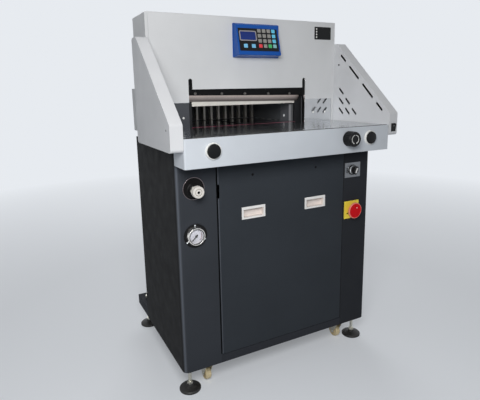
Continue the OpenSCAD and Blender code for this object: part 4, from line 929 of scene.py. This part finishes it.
# Painted shade: a dark bead on the joint between table and apron
SHADE_BEAD_HALF = 390
SHADE_BEAD_SECTION = ((-1.5, SEAT), (-1.5, 0.9), (-0.9, 1.6), (0.9, 1.6), (1.5, 0.9), (1.5, SEAT))
SHADE_BEAD_STATIONS = (-SHADE_BEAD_HALF, -SHADE_BEAD_HALF / 3, SHADE_BEAD_HALF / 3, SHADE_BEAD_HALF)
shade_bead = Shape()
shade_bead.stack(on_top(0, -370.5, TABLE_TOP), [[(x, y, z) for y, z in SHADE_BEAD_SECTION] for x in SHADE_BEAD_STATIONS])
shade_bead.piece("table_shade_bead", "black_rubber", "frame")

# Floor that fades into the pale background

PALE = (0.80, 0.83, 0.87)
FLOOR_HALF = 30
FADE_FROM, FADE_TO = 1.2, 4.0
GLOW_NEAR, GLOW_FAR = 0.3, 1.0
floor_mesh = bpy.data.meshes.new("floor")
floor_mesh.from_pydata([(-FLOOR_HALF, -FLOOR_HALF, 0), (FLOOR_HALF, -FLOOR_HALF, 0),
                        (FLOOR_HALF, FLOOR_HALF, 0), (-FLOOR_HALF, FLOOR_HALF, 0)], [], [(0, 1, 2, 3)])
floor = bpy.data.objects.new("floor", floor_mesh)
SCENE.collection.objects.link(floor)
ground = Graph("pale_floor")
ground.set(base_color=PALE, roughness=0.9)
far = ground.add("ShaderNodeVectorMath", {0: ground.place}, operation="LENGTH").outputs["Value"]
share = ground.math("MULTIPLY", ground.seen(), ground.span(far, FADE_FROM, FADE_TO, GLOW_NEAR, GLOW_FAR))
glow = ground.add("ShaderNodeEmission", {"Color": PALE, "Strength": 1.0}).outputs[0]
faded = ground.add("ShaderNodeMixShader", {0: share, 1: ground.shader.outputs[0], 2: glow}).outputs[0]
ground.put(ground.output.inputs["Surface"], faded)
floor_mesh.materials.append(ground.material)

# World: pale to the eye and in metal, a weak fill on the object

FILL = 0.12
SCENE.world = bpy.data.worlds.new("studio")
SCENE.world.use_nodes = True
studio = Tree(SCENE.world.node_tree)
pale = studio.add("ShaderNodeBackground", {"Color": PALE, "Strength": 1.0}).outputs[0]
fill = studio.add("ShaderNodeBackground", {"Color": PALE, "Strength": FILL}).outputs[0]
chosen = studio.add("ShaderNodeMixShader", {0: studio.seen(), 1: fill, 2: pale}).outputs[0]
studio.add("ShaderNodeOutputWorld", {"Surface": chosen})


# Lights that look at the middle of the machine

MIDDLE = Vector((0, -0.1, 0.7))


def soft_box(name, at, size, watts):
    """Rectangular light."""
    data = bpy.data.lights.new(name, "AREA")
    data.shape = "RECTANGLE"
    data.size, data.size_y = size
    data.energy = watts
    lamp = bpy.data.objects.new(name, data)
    lamp.location = at
    lamp.rotation_euler = (MIDDLE - Vector(at)).to_track_quat("-Z", "Y").to_euler()
    SCENE.collection.objects.link(lamp)


soft_box("key_light", (-0.83, -1.45, 1.42), (0.7, 0.6), 20.5)
soft_box("top_light", (0, 0.2, 3.4), (2.4, 2.4), 14)
soft_box("back_light", (1.0, 3.0, 2.2), (2.2, 1.8), 40)

# Camera of the photograph: place in metres, angles in degrees, focal length and optical axis in its pixels

EYE = (-0.8331, -1.5697, 1.0400)
YAW, PITCH, ROLL = (math.radians(a) for a in (27.315, 11.597, -1.103))
FOCUS_PX, WIDTH_PX, HEIGHT_PX = 441.78, 480, 400
AXIS_PX = (241.46, 179.79)
forward = Vector((math.sin(YAW) * math.cos(PITCH), math.cos(YAW) * math.cos(PITCH), -math.sin(PITCH)))
level = Vector((math.cos(YAW), -math.sin(YAW), 0))
above = level.cross(forward)
right = math.cos(ROLL) * level + math.sin(ROLL) * above
top = math.cos(ROLL) * above - math.sin(ROLL) * level
lens = bpy.data.cameras.new("camera")
lens.sensor_width = 36
lens.lens = lens.sensor_width * FOCUS_PX / WIDTH_PX
lens.shift_x = (WIDTH_PX / 2 - AXIS_PX[0]) / WIDTH_PX
lens.shift_y = (AXIS_PX[1] - HEIGHT_PX / 2) / WIDTH_PX
lens.clip_end = 100
camera = bpy.data.objects.new("camera", lens)
camera.matrix_world = Matrix.Translation(EYE) @ Matrix((right, top, -forward)).transposed().to_4x4()
SCENE.collection.objects.link(camera)
SCENE.camera = camera
SCENE.view_settings.view_transform = "Standard"
